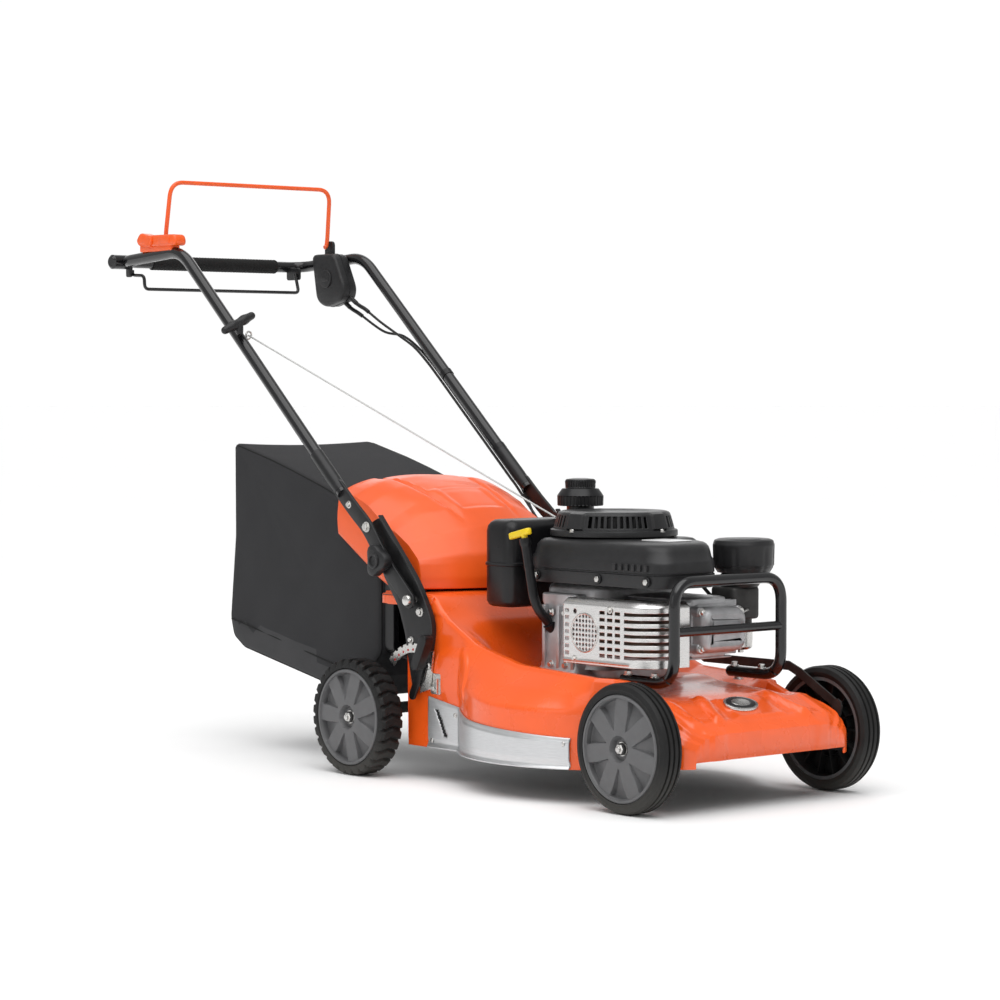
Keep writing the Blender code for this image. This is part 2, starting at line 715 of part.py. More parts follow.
def recoil_cover():
    """Slotted round cover of the recoil starter, open below."""
    plastic = material("charcoal_plastic", CHARCOAL, 0.42)
    outline = [(0.109, 0.4263), (0.109, 0.4380), (0.0960, 0.4650), (0.0900, 0.4690)]
    centre = (BLADE_CENTRE, 0.0)
    body = turned("recoil_cover", outline, centre, "Z", plastic, 24)
    inside = turned("recoil_inside", [(0.104, 0.4200), (0.104, 0.4370), (0.0920, 0.4620)], centre,
                    "Z", None, 24)
    cut(body, inside)
    for quarter in range(4):
        for i in range(5):
            angle = math.radians(90 * quarter + 27 + 9 * i)
            slot = block("slot", (0.088, -0.0028, 0.4420), (0.115, 0.0028, 0.4600), None)
            slot.data.transform(Matrix.Rotation(angle, 4, "Z"))
            slot.data.transform(Matrix.Translation((*centre, 0.0)))
            cut(body, slot)
    cut(body, rod("rope_eye", (-0.0560, 0.4550), "X", 0.29, 0.34, 0.0045, None, 10))
    return body


def starter_pulley():
    """Rope pulley of the recoil starter."""
    outline = [(0.0500, 0.4400), (0.0450, 0.4440), (0.0450, 0.4500), (0.0500, 0.4540)]
    made = turned("starter_pulley", outline, (BLADE_CENTRE, 0.0), "Z",
                  material("pulley_plastic", (0.08, 0.08, 0.08), 0.5), 28)
    return set_origin(made, (BLADE_CENTRE, 0.0, 0.0))


FUEL_NECK = (0.268, 0.042)


def fuel_tank():
    """Blow-moulded tank with its filler neck."""
    plastic = material("tank_plastic", BLACK, 0.35)
    made = block("fuel_tank", (0.212, -0.137, 0.302), (0.2895, 0.110, 0.452), plastic)
    bevel(made, 0.016, 3)
    neck = turned("filler_neck", [(0.022, 0.440), (0.022, 0.4640)], FUEL_NECK, "Z", None, 24)
    shoulder = turned("filler_shoulder", [(0.026, 0.440), (0.026, 0.4560)], FUEL_NECK, "Z", None, 24)
    join(made, neck, shoulder)
    return made


def fuel_cap():
    """Ribbed screw cap."""
    outline = [(0.0400, 0.4720), (0.0405, 0.4900), (0.0340, 0.5020), (0.0260, 0.5030),
               (0.0270, 0.5170), (0.0200, 0.5200)]
    made = turned("fuel_cap", outline, FUEL_NECK, "Z", material("cap_plastic", BLACK, 0.5), 32)
    collar = turned("cap_collar", [(0.0240, 0.4643), (0.0240, 0.4730)], FUEL_NECK, "Z", None, 32)
    join(made, collar)
    return set_origin(made, (*FUEL_NECK, 0.0))


OIL_TOP = Vector((0.343, -0.152, 0.424))
OIL_FOOT = Vector((0.366, -0.149, 0.310))


def oil_tube():
    """Oil filler tube, bored for the dipstick."""
    plastic = material("black_tube", BLACK, 0.4)
    route = rounded([OIL_TOP, OIL_FOOT, (0.372, -0.1165, 0.275)], 0.02)
    tube = swept("oil_filler_tube", route, 0.0085, plastic, 12)
    ahead = (OIL_FOOT - OIL_TOP).normalized()
    cut(tube, swept("dipstick_bore", [OIL_TOP - ahead * 0.02, OIL_TOP + ahead * 0.10], 0.0045, None, 12))
    return tube


def dipstick():
    """Dipstick with its flat pull tab."""
    ahead = (OIL_FOOT - OIL_TOP).normalized()
    blade_part = swept("dipstick", [OIL_TOP - ahead * 0.008, OIL_TOP + ahead * 0.090], 0.0025,
                       material("yellow_tab", (0.85, 0.70, 0.02), 0.4), 8)
    tab = block("pull_tab", (-0.034, -0.0045, 0.0), (0.014, 0.0045, 0.013), None)
    tab.data.transform(Matrix.Rotation(math.radians(-13), 4, "Y"))
    tab.data.transform(Matrix.Translation(OIL_TOP - ahead * 0.004))
    join(blade_part, tab)
    return blade_part


def air_filter():
    """Round air filter cover."""
    outline = [(0.0440, 0.3680), (0.0500, 0.3760), (0.0520, 0.4180), (0.0480, 0.4250)]
    return turned("air_filter_cover", outline, (0.600, 0.112), "Z",
                  material("filter_plastic", CHARCOAL, 0.4), 32)


def carburettor():
    """Carburettor and intake elbow between the head and the air filter."""
    made = block("carburettor", (0.560, 0.070, 0.275), (0.620, 0.135, 0.3676),
                 material("carb_dark", (0.05, 0.05, 0.05), 0.5, 0.3))
    return bevel(made, 0.008, 2)


def cage():
    """Tubular guard in front of the cylinder."""
    y = CAGE_HALF_WIDTH
    hoop = [(0.550, -y, CAGE_FOOT_Z), (CAGE_X, -y, CAGE_FOOT_Z), (CAGE_X, -y, 0.3640), (CAGE_X, y, 0.3640),
            (CAGE_X, y, CAGE_FOOT_Z), (0.550, y, CAGE_FOOT_Z)]
    made = swept("cage_guard", rounded(hoop, 0.038, 6), CAGE_RADIUS,
                 material("black_tube_paint", BLACK, 0.3), 12)
    bar = swept("cage_bar", [(CAGE_X, -y, 0.2830), (CAGE_X, y, 0.2830)], CAGE_RADIUS - 0.001, None, 12)
    join(made, bar)
    return made


# ---------------------------------------------------------------- handle

def handle_tube():
    """Bent handle tube with its flattened feet."""
    y = HANDLE_Y
    half = [(HANDLE_FOOT[0], y, HANDLE_FOOT[1]), (HANDLE_BEND[0], y, HANDLE_BEND[1]),
            (HANDLE_REAR[0], y, HANDLE_REAR[1])]
    route = [(px, -py, pz) for px, py, pz in half] + list(reversed(half))
    made = swept("handle_tube", rounded(route, 0.030, 6), TUBE_RADIUS,
                 material("black_tube_paint", BLACK, 0.3), 12)
    end_cap = [(0.0100, -0.2440), (0.0140, -0.2400), (0.0140, -0.2050), (0.0100, -0.2040)]
    join(made, turned("crossbar_end", end_cap, HANDLE_REAR, "Y", None, 16))
    for side in (-1, 1):
        low, high = sorted((side * 0.2160, side * 0.2220))
        foot = crank_arm("foot_%d" % (side + 1), [(-0.080, 0.497), HANDLE_BOLT, KNOB_CENTRE,
                                                  HANDLE_PIVOT], 0.0135, low, high)
        join(made, foot)
        cut(made, rod("pivot_hole_%d" % (side + 1), HANDLE_PIVOT, "Y", low - 0.01, high + 0.01,
                      0.0058, None, 16))
    return set_origin(made, (HANDLE_PIVOT[0], 0.0, HANDLE_PIVOT[1]))


def grip():
    """Foam sleeve over the handle's crossbar."""
    inner = TUBE_RADIUS + GAP
    outline = [(inner, -0.150), (0.0140, -0.150), (0.0140, 0.150), (inner, 0.150)]
    return turned("handle_grip", outline, HANDLE_REAR, "Y", material("foam", BLACK, 0.8), 20, True)


def bail_housing():
    """Orange pivot housing of the brake bail on the right tube."""
    outline = [(-0.707, 0.9610), (-0.700, 0.9500), (-0.672, 0.9475), (-0.574, 0.9475), (-0.574, 0.9680),
               (-0.672, 0.9680), (-0.694, 0.9740)]
    made = prism("bail_housing", outline, "Y", -0.2320, -0.2040,
                 material("orange_plastic", ORANGE, 0.35))
    return bevel(made, 0.003, 1)


def control_box():
    """Black control housing on the left tube."""
    plastic = material("box_plastic", CHARCOAL, 0.4)
    outline = [(-0.678, 0.943), (-0.606, 0.943), (-0.584, 0.899), (-0.572, 0.874), (-0.579, 0.850),
               (-0.634, 0.836), (-0.662, 0.850), (-0.670, 0.894)]
    made = prism("control_box", outline, "Y", 0.168, 0.2060, plastic)
    return bevel(made, 0.006, 2)


def rope_guide():
    """Pigtail eye that holds the starter rope on the right tube."""
    x, z = along_handle(ROPE_EYE_ALONG)
    count = 20
    route = [(x - 0.006, -HANDLE_Y + 0.0134, z - 0.016)]
    for i in range(count):
        angle = math.pi + 2 * math.pi * 1.1 * i / (count - 1)
        route.append((x + 0.004 + 0.008 * i / count, ROPE_EYE_Y + 0.007 * math.cos(angle),
                      z - 0.004 + 0.007 * math.sin(angle)))
    return swept("rope_guide", route, 0.0018, material("bright_wire", (0.6, 0.6, 0.6), 0.3, 0.9), 7)


def brake_bail():
    """Wire bail that the operator holds against the handle."""
    x, z = BAIL_PIVOT
    y = BAIL_HALF_WIDTH
    top_x, top_z = BAIL_TOP
    route = [(x, -y + 0.006, z), (x, -y, z + 0.002), (top_x, -y + 0.004, top_z), (top_x, y - 0.004, top_z),
             (x, y, z + 0.002), (x, y - 0.006, z)]
    made = swept("brake_bail", rounded(route, 0.024, 6), 0.004, material("orange_bail", ORANGE, 0.35), 8)
    return set_origin(made, (x, 0.0, z))


def drive_bail():
    """Wire bail under the grip that engages the drive."""
    x, z = DRIVE_BAIL_PIVOT
    route = [(x, -0.196, z + 0.008), (x, -0.196, z - 0.002), (x + 0.040, -0.196, z - 0.004),
             (x + 0.042, -0.196, z - 0.030), (x + 0.042, 0.176, z - 0.030), (x + 0.030, 0.176, z + 0.008)]
    made = swept("drive_bail", rounded(route, 0.008, 4), 0.0032, material("black_wire", BLACK, 0.35), 8)
    return set_origin(made, (x, 0.0, z))


GRIP_CENTRE = Vector((-0.3740, -0.2288, 0.7965))
PULL_AXIS = Vector((-0.280, 0.0, 0.960))


def starter_grip():
    """Moulded T handle on the end of the starter rope."""
    plastic = material("grip_plastic", CHARCOAL, 0.45)
    bar_way = Vector((0.0, 0.91, 0.42))
    bar = swept("starter_grip", [GRIP_CENTRE - bar_way * 0.040, GRIP_CENTRE - bar_way * 0.037,
                                 GRIP_CENTRE + bar_way * 0.037, GRIP_CENTRE + bar_way * 0.040],
                0.0080, plastic, 12)
    way = PULL_AXIS.normalized()
    stem = swept("grip_stem", [GRIP_CENTRE, GRIP_CENTRE - way * 0.0180], 0.0080, None, 12)
    join(bar, stem)
    return bar


def knob(name, side):
    """Three-lobed clamping knob."""
    outline = []
    for i in range(36):
        angle = 2 * math.pi * i / 36
        radius = 0.0260 + 0.0040 * math.cos(3 * angle)
        outline.append((KNOB_CENTRE[0] + radius * math.cos(angle),
                        KNOB_CENTRE[1] + radius * math.sin(angle)))
    low, high = sorted((side * 0.2224, side * 0.2440))
    made = prism(name, outline, "Y", low, high, material("knob_plastic", CHARCOAL, 0.4))
    return set_origin(made, (KNOB_CENTRE[0], 0.0, KNOB_CENTRE[1]))


def domed(name, outline, half, lower, look):
    """An outline along Y whose top falls away, and whose front draws back, towards both sides."""
    verts = []
    for share in (-1.0, -0.86, -0.68, -0.46, -0.22, 0.0, 0.22, 0.46, 0.68, 0.86, 1.0):
        for x, z in outline:
            back = 0.050 * share ** 2 * min(max((x + 0.050) / 0.200, 0.0), 1.0)
            fall = float(np.interp(x, [-0.14, -0.05, 0.0, 0.15], [0.030, 0.045, 0.055, 0.060]))
            top = min(max((z - 0.37) / 0.12, 0.0), 1.0)
            verts.append((x - back, share * half, z - (fall * abs(share) ** 2.2 + lower) * top))
    return solid(name, verts, rings_to_faces(11, len(outline)), look)


def flap():
    """Moulded rear flap over the bag's mouth, open below and behind."""
    outline = [(-0.136, 0.415), (-0.138, 0.500), (-0.134, 0.521), (-0.090, 0.522), (-0.050, 0.512),
               (0.000, 0.496), (0.050, 0.472), (0.100, 0.433), (0.135, 0.388), (0.150, 0.345),
               (0.150, 0.3250), (0.030, 0.3250), (-0.030, 0.348), (-0.090, 0.385)]
    plastic = material("orange_plastic", ORANGE, 0.33)
    made = domed("rear_flap", outline, FLAP_HALF_WIDTH, 0.0, plastic)
    inside = [(-0.160, 0.200), (-0.160, 0.497), (-0.132, 0.5175), (-0.090, 0.5185), (-0.051, 0.5085),
              (-0.002, 0.4925), (0.048, 0.4685), (0.0975, 0.4300), (0.1317, 0.3870), (0.1465, 0.3440),
              (0.1465, 0.200)]
    cut(made, domed("flap_inside", inside, FLAP_HALF_WIDTH - FLAP_WALL, 0.0006, None))
    return set_origin(made, (FLAP_PIVOT[0], 0.0, FLAP_PIVOT[1]))


def bag():
    """Grass bag, hollow and open at its mouth."""
    outline = [(-0.480, 0.574), (-0.364, 0.543), (-0.195, 0.498), (-0.100, 0.462), (-0.030, 0.440),
               (-0.030, 0.205), (-0.080, 0.150), (-0.100, 0.118), (-0.220, 0.142), (-0.452, 0.187),
               (-0.486, 0.208), (-0.496, 0.242), (-0.479, 0.400)]
    cloth = material("bag_cloth", (0.035, 0.035, 0.036), 0.9)
    made = prism("grass_bag", outline, "Y", -BAG_HALF_WIDTH, BAG_HALF_WIDTH, cloth)
    bevel(made, 0.008, 2, 50)
    inside = [(-0.474, 0.566), (-0.361, 0.536), (-0.195, 0.491), (-0.100, 0.455), (-0.020, 0.430),
              (-0.020, 0.212), (-0.085, 0.156), (-0.105, 0.125), (-0.220, 0.148), (-0.449, 0.193),
              (-0.480, 0.212), (-0.489, 0.243), (-0.473, 0.400)]
    cut(made, prism("bag_inside", inside, "Y", -BAG_HALF_WIDTH + BAG_WALL, BAG_HALF_WIDTH - BAG_WALL,
                    None))
    return made


def bag_frame():
    """Rigid mouth frame of the bag."""
    made = block("bag_frame", (-0.0297, -0.158, 0.206), (-0.005, 0.158, 0.438),
                 material("frame_plastic", BLACK, 0.5))
    cut(made, block("frame_mouth", (-0.05, -0.145, 0.222), (0.02, 0.145, 0.424), None))
    return made


def cables():
    """Brake and drive cables down the left tube, and the starter rope."""
    sheath = material("cable_sheath", BLACK, 0.45)
    runs = []
    for name, y, below, start, sag in (("brake_cable", 0.2110, 0.0150, (-0.568, 0.196, 0.845), 0.806),
                                       ("drive_cable", 0.2210, 0.0155, (-0.594, 0.200, 0.8375), 0.788)):
        route = [start, (start[0] + 0.030, start[1] + 0.002, start[2] - 0.014),
                 (-0.500, 0.4 * start[1] + 0.6 * y, sag)]
        for distance, slack in ((0.490, 0.020), (0.440, 0.006), (0.390, 0.001), (0.290, 0.0),
                                (0.190, 0.0), (0.100, 0.0), (0.030, 0.0)):
            px, pz = along_handle(distance, below + slack)
            route.append((px, y, pz))
        end = (-0.010, 0.2113, 0.4050) if name == "brake_cable" else (-0.030, 0.2113, 0.4150)
        route.append(end)
        runs.append((name, route))
    for name, route in runs:
        cable(name, route, 0.0024, sheath, 32)
    cable("brake_cable_lower", [(0.180, 0.1880, 0.400), (0.215, 0.160, 0.440), (0.260, 0.145, 0.430),
                                (0.300, 0.135, 0.400), (0.335, 0.1235, 0.370)], 0.0024, sheath, 24)
    x, z = along_handle(ROPE_EYE_ALONG)
    eye = (x + 0.008, ROPE_EYE_Y, z - 0.004)
    cable("starter_rope", [eye, (0.3150, -0.0573, 0.4560)], 0.0015,
          material("rope_white", (0.8, 0.8, 0.78), 0.7), 12)


def wheels():
    """Four tyres and four hubs."""
    for side, word in ((-1, "right"), (1, "left")):
        tyre("tyre_front_" + word, FRONT_AXLE, FRONT_RADIUS, FRONT_FACES, side, 0.087)
        hub("hub_front_" + word, FRONT_AXLE, FRONT_FACES, side, 0.087, False)
        tyre("tyre_rear_" + word, REAR_AXLE, REAR_RADIUS, REAR_FACES, side, 0.084)
        hub("hub_rear_" + word, REAR_AXLE, REAR_FACES, side, 0.084, True)


def main():
    """Build the whole mower."""
    for old in list(bpy.data.objects):
        bpy.data.objects.remove(old)
    deck()
    for side, word in ((-1, "right"), (1, "left")):
        trim("side_trim_" + word, side)
        bracket("handle_bracket_" + word, side)
        knob("handle_knob_" + word, side)
    chute()
    quadrant()
    wheels()
    front_axle()
    link_bar()
    rear_axle()
    drive_shaft()
    height_lever()
    crankshaft()
    flywheel()
    blade()
    blade_bolt()
    gearbox()
    gearbox_pulley()
    drive_belt()
    engine_block()
    rocker_cover()
    spark_plug()
    muffler()
    muffler_guard()
    shroud()
    recoil_cover()
    starter_pulley()
    fuel_tank()
    fuel_cap()
    oil_tube()
    dipstick()
    air_filter()
    carburettor()
    cage()
    handle_tube()
    grip()
    bail_housing()
    control_box()
    rope_guide()
    brake_bail()
    drive_bail()
    starter_grip()
    flap()
    bag()
    bag_frame()
    cables()


main()
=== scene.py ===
"""Push lawn mower: procedural shapes, finishes and a pale studio."""

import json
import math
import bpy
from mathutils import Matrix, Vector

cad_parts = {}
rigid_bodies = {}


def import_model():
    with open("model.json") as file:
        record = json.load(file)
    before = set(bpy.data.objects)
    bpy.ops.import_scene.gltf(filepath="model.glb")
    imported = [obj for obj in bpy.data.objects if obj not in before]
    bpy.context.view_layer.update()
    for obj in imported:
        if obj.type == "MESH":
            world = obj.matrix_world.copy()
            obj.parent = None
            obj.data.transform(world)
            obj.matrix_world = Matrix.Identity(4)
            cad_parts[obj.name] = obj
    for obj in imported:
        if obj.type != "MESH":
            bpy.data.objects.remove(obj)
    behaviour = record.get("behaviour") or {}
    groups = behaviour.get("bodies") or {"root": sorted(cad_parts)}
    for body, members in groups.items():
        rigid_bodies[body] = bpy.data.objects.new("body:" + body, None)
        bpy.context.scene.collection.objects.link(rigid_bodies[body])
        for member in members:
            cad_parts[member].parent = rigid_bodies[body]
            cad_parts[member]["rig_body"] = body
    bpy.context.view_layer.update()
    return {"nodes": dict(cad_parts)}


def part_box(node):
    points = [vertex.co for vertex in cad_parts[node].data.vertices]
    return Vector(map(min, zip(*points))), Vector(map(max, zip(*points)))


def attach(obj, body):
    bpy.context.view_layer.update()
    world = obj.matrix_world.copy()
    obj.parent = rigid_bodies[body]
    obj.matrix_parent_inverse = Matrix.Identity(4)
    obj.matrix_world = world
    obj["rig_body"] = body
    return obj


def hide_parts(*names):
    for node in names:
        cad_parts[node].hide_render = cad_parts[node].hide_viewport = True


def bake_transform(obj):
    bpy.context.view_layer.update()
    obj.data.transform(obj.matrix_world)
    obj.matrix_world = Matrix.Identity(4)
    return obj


bl_info = {
    "name": "Push lawn mower",
    "version": (1, 0, 0),
    "blender": (4, 5, 0),
    "location": "View3D > Sidebar > Mower",
    "description": "Builds the shapes and finishes of a push lawn mower around its CAD frame",
    "category": "Object",
}

import bmesh
import bpy
import numpy as np
from bpy.props import FloatProperty, FloatVectorProperty, PointerProperty

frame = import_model()

FRONT_AXLE = (0.684, 0.105)
REAR_AXLE = (0.007, 0.1017)
BLADE_CENTRE = 0.400
HOUSING_RADIUS = 0.262
HANDLE_FOOT = (-0.060, 0.479)
HANDLE_BEND = (-0.573, 0.936)
HANDLE_REAR = (-0.775, 0.921)
HANDLE_PIVOT = (0.116, 0.310)
HANDLE_BOLT = (0.000, 0.433)
KNOB_CENTRE = (0.044, 0.376)
LEVER_PIVOT = (0.118, 0.145)
FUEL_NECK = (0.268, 0.042)
FLAP_HALF_WIDTH = 0.178
HANDLE_HALF_WIDTH = 0.218
DECK_LIP_HEIGHT = 0.085
BAG_HALF_WIDTH = 0.165
TUBE_UP = (0.45, 0.0, 0.9)
CAMERA_PLACE = (4.234, -3.536, 0.684)
CAMERA_YAW = math.radians(49.45)
CAMERA_DIP = math.radians(2.17)
CAMERA_LENS = 110.13
FLOOR_DROP = 0.0004
ALONG = {"X": (1, 2, 0), "Y": (0, 2, 1), "Z": (0, 1, 2)}


# ---------------------------------------------------------------- shape helpers

def smooth_step(value, low, high):
    """0 below low, 1 above high, and 3t^2 - 2t^3 between."""
    t = np.clip((value - low) / (high - low), 0.0, 1.0)
    return t * t * (3 - 2 * t)


def eased(control, reach, rounds=3):
    """Polylines [rows, points, 3] with each corner cut back by reach, then cut again and again (corner cutting)."""
    ahead = control[:, 1:] - control[:, :-1]
    length = np.linalg.norm(ahead, axis=2, keepdims=True)
    step = ahead / np.maximum(length, 1e-9) * np.minimum(reach, 0.42 * length)
    parts = [control[:, :1]]
    for i in range(1, control.shape[1] - 1):
        parts += [control[:, i:i + 1] - step[:, i - 1:i], control[:, i:i + 1],
                  control[:, i:i + 1] + step[:, i:i + 1]]
    parts.append(control[:, -1:])
    line = np.concatenate(parts, axis=1)
    for _ in range(rounds):
        near = 0.75 * line[:, :-1] + 0.25 * line[:, 1:]
        far = 0.25 * line[:, :-1] + 0.75 * line[:, 1:]
        cut = np.stack([near, far], axis=2).reshape(line.shape[0], -1, 3)
        line = np.concatenate([line[:, :1], cut, line[:, -1:]], axis=1)
    return line


def respaced(line, count):
    """A polyline's points spaced evenly along its length."""
    line = np.asarray(line, float)
    run = np.concatenate([[0.0], np.cumsum(np.linalg.norm(np.diff(line, axis=0), axis=1))])
    at = np.linspace(0.0, run[-1], count)
    return np.stack([np.interp(at, run, line[:, k]) for k in range(line.shape[1])], axis=1)


def rounded_path(points, radius, steps=8):
    """A route whose corners are turned with curves (1-t)^2 A + 2t(1-t) B + t^2 C."""
    points = np.asarray(points, float)
    route = [points[0]]
    share = np.linspace(0.0, 1.0, steps)[:, None]
    for before, here, after in zip(points[:-2], points[1:-1], points[2:]):
        back, on = before - here, after - here
        a = here + back / np.linalg.norm(back) * min(radius, 0.49 * np.linalg.norm(back))
        c = here + on / np.linalg.norm(on) * min(radius, 0.49 * np.linalg.norm(on))
        route += list((1 - share) ** 2 * a + 2 * share * (1 - share) * here + share ** 2 * c)
    route.append(points[-1])
    return np.array(route)


def flowing(points, count):
    """A Catmull-Rom line through the points: half of (2B + (C-A)t + (2A-5B+4C-D)t^2 + (3B-A-3C+D)t^3)."""
    p = np.asarray(points, float)
    p = np.concatenate([[2 * p[0] - p[1]], p, [2 * p[-1] - p[-2]]])
    t = np.linspace(0.0, 1.0, 12, endpoint=False)[:, None]
    parts = [0.5 * (2 * b + (c - a) * t + (2 * a - 5 * b + 4 * c - d) * t ** 2 + (3 * b - a - 3 * c + d) *
                    t ** 3)
             for a, b, c, d in zip(p[:-3], p[1:-2], p[2:-1], p[3:])]
    return respaced(np.concatenate(parts + [p[-2:-1]]), count)


def offset(outline, inset):
    """A closed outline moved inwards by inset along the mean of each corner's two edge normals."""
    p = np.asarray(outline, float)
    area = np.sum(p[:, 0] * np.roll(p[:, 1], -1) - np.roll(p[:, 0], -1) * p[:, 1])
    e = np.roll(p, -1, 0) - p
    e /= np.maximum(np.linalg.norm(e, axis=1, keepdims=True), 1e-9)
    n = np.stack([-e[:, 1], e[:, 0]], 1) * (1 if area > 0 else -1)
    m = n + np.roll(n, 1, 0)
    m /= np.maximum(np.sum(m * n, axis=1, keepdims=True), 0.35)
    return p + m * inset


def corners(outline, radius, steps=5):
    """A closed outline with rounded corners."""
    p = np.asarray(outline, float)
    share = np.linspace(0.0, 1.0, steps)[:, None]
    made = []
    for before, here, after in zip(np.roll(p, 1, 0), p, np.roll(p, -1, 0)):
        back, on = before - here, after - here
        a = here + back / np.linalg.norm(back) * min(radius, 0.46 * np.linalg.norm(back))
        c = here + on / np.linalg.norm(on) * min(radius, 0.46 * np.linalg.norm(on))
        made += list((1 - share) ** 2 * a + 2 * share * (1 - share) * here + share ** 2 * c)
    return np.array(made)


def disc(centre, radius, count=32, wave=0.0, lobes=0):
    """A closed circle, its radius swelling by wave * cos(lobes * angle)."""
    a = np.linspace(0, 2 * math.pi, count, endpoint=False)
    r = radius + wave * np.cos(lobes * a)
    return np.stack([centre[0] + r * np.cos(a), centre[1] + r * np.sin(a)], 1)


def quads(rows, cols, wrap_rows=False, wrap_cols=False, keep=None):
    """Faces over a grid of rows x cols points."""
    i, j = np.meshgrid(np.arange(rows if wrap_rows else rows - 1), np.arange(cols if wrap_cols else cols - 1),
                       indexing="ij")
    if keep is not None:
        i, j = i[keep], j[keep]
    i, j = i.ravel(), j.ravel()
    i2, j2 = (i + 1) % rows, (j + 1) % cols
    return np.stack([i * cols + j, i * cols + j2, i2 * cols + j2, i2 * cols + j], 1).tolist()


def loft(rings, look=0, caps=True, wrap_rows=False):
    """Closed rings [rows, points, 3] skinned one to the next, the ends filled."""
    rings = np.asarray(rings, float)
    faces = quads(rings.shape[0], rings.shape[1], wrap_rows, True)
    if caps and not wrap_rows:
        n = rings.shape[1]
        faces.append(list(range(n)))
        faces.append([(rings.shape[0] - 1) * n + k for k in range(n)][::-1])
    return rings.reshape(-1, 3), faces, look


def stack(outline, levels, axis="Z", look=0):
    """An outline carried along an axis: at each level (place, inset) it is drawn in by inset."""
    a, b, c = ALONG[axis]
    rings = np.zeros((len(levels), len(outline), 3))
    for k, (place, inset) in enumerate(levels):
        ring = offset(outline, inset) if abs(inset) > 1e-9 else np.asarray(outline, float)
        rings[k, :, a], rings[k, :, b], rings[k, :, c] = ring[:, 0], ring[:, 1], place
    return loft(rings, look)


def slab(outline, low, high, edge, axis="Z", look=0):
    """An outline between two heights with quarter-round edges."""
    turn = np.linspace(0.0, math.pi / 2, 4)
    up = [(low + edge * (1 - math.sin(t)), edge * (1 - math.cos(t))) for t in turn[::-1]]
    down = [(high - edge * (1 - math.sin(t)), edge * (1 - math.cos(t))) for t in turn]
    return stack(outline, up + down, axis, look)


def box_slab(low, high, corner, edge, axis="Z", look=0):
    """A box with rounded corners and edges."""
    a, b, c = ALONG[axis]
    outline = corners([(low[a], low[b]), (high[a], low[b]), (high[a], high[b]), (low[a], high[b])], corner, 6)
    return slab(outline, low[c], high[c], edge, axis, look)


def tube(path, radius, sides=16, up=(0.0, 0.0, 1.0), look=0, caps=True):
    """A circle carried along a route; its frame is the route's direction crossed with a fixed up."""
    path = np.asarray(path, float)
    ahead = np.gradient(path, axis=0)
    ahead /= np.maximum(np.linalg.norm(ahead, axis=1, keepdims=True), 1e-9)
    side = np.cross(ahead, np.array(up, float))
    side /= np.maximum(np.linalg.norm(side, axis=1, keepdims=True), 1e-9)
    over = np.cross(side, ahead)
    a = np.linspace(0, 2 * math.pi, sides, endpoint=False)[None, :, None]
    r = np.broadcast_to(np.asarray(radius, float), (len(path),))[:, None, None]
    rings = path[:, None] + r * (np.cos(a) * side[:, None] + np.sin(a) * over[:, None])
    return loft(rings, look, caps)


def lathe(profile, centre, axis="Z", count=48, wave=None, look=0, ring=False):
    """A profile of (radius, place) points turned about an axis; wave(angle, radius, place) adds to the radius."""
    a, b, c = ALONG[axis]
    profile = np.asarray(profile, float)
    angle = np.linspace(0, 2 * math.pi, count, endpoint=False)[None, :]
    r = np.repeat(profile[:, :1], count, axis=1)
    place = np.repeat(profile[:, 1:2], count, axis=1)
    if wave is not None:
        r = r + wave(angle, r, place)
    rings = np.zeros((len(profile), count, 3))
    rings[..., a], rings[..., b] = centre[0] + r * np.cos(angle), centre[1] + r * np.sin(angle)
    rings[..., c] = place
    return loft(rings, look, not ring, ring)


def soft_profile(points, reach, rounds=2):
    """A lathe profile with its corners cut round."""
    p = np.array([[(x, y, 0.0) for x, y in points]])
    return eased(p, reach, rounds)[0][:, :2]


def bolt(centre, axis, low, high, radius, look=0):
    """A hexagonal head with a chamfered top on a washer; low is where it seats, high its free end."""
    rise = high - low
    washer = stack(disc(centre, radius * 1.35, 24), [(low, 0), (low + 0.2 * rise, 0),
                                                     (low + 0.25 * rise, 0.0004)], axis, look)
    head = stack(disc(centre, radius, 6), [(low + 0.2 * rise, 0), (high - 0.15 * rise, 0),
                                           (high, 0.15 * radius)], axis, look)
    return [washer, head]


def turned_by(shell, degrees, axis_point, move=(0, 0, 0)):
    """A shell turned about the Y direction through a point, then moved."""
    points, faces, look = shell
    a = math.radians(degrees)
    p = points - np.array(axis_point)
    q = p.copy()
    q[:, 0] = p[:, 0] * math.cos(a) + p[:, 2] * math.sin(a)
    q[:, 2] = -p[:, 0] * math.sin(a) + p[:, 2] * math.cos(a)
    return q + np.array(axis_point) + np.array(move), faces, look


def mirrored(shell):
    """A shell reflected across the middle of the mower."""
    points, faces, look = shell
    return points * np.array([1.0, -1.0, 1.0]), [f[::-1] for f in faces], look


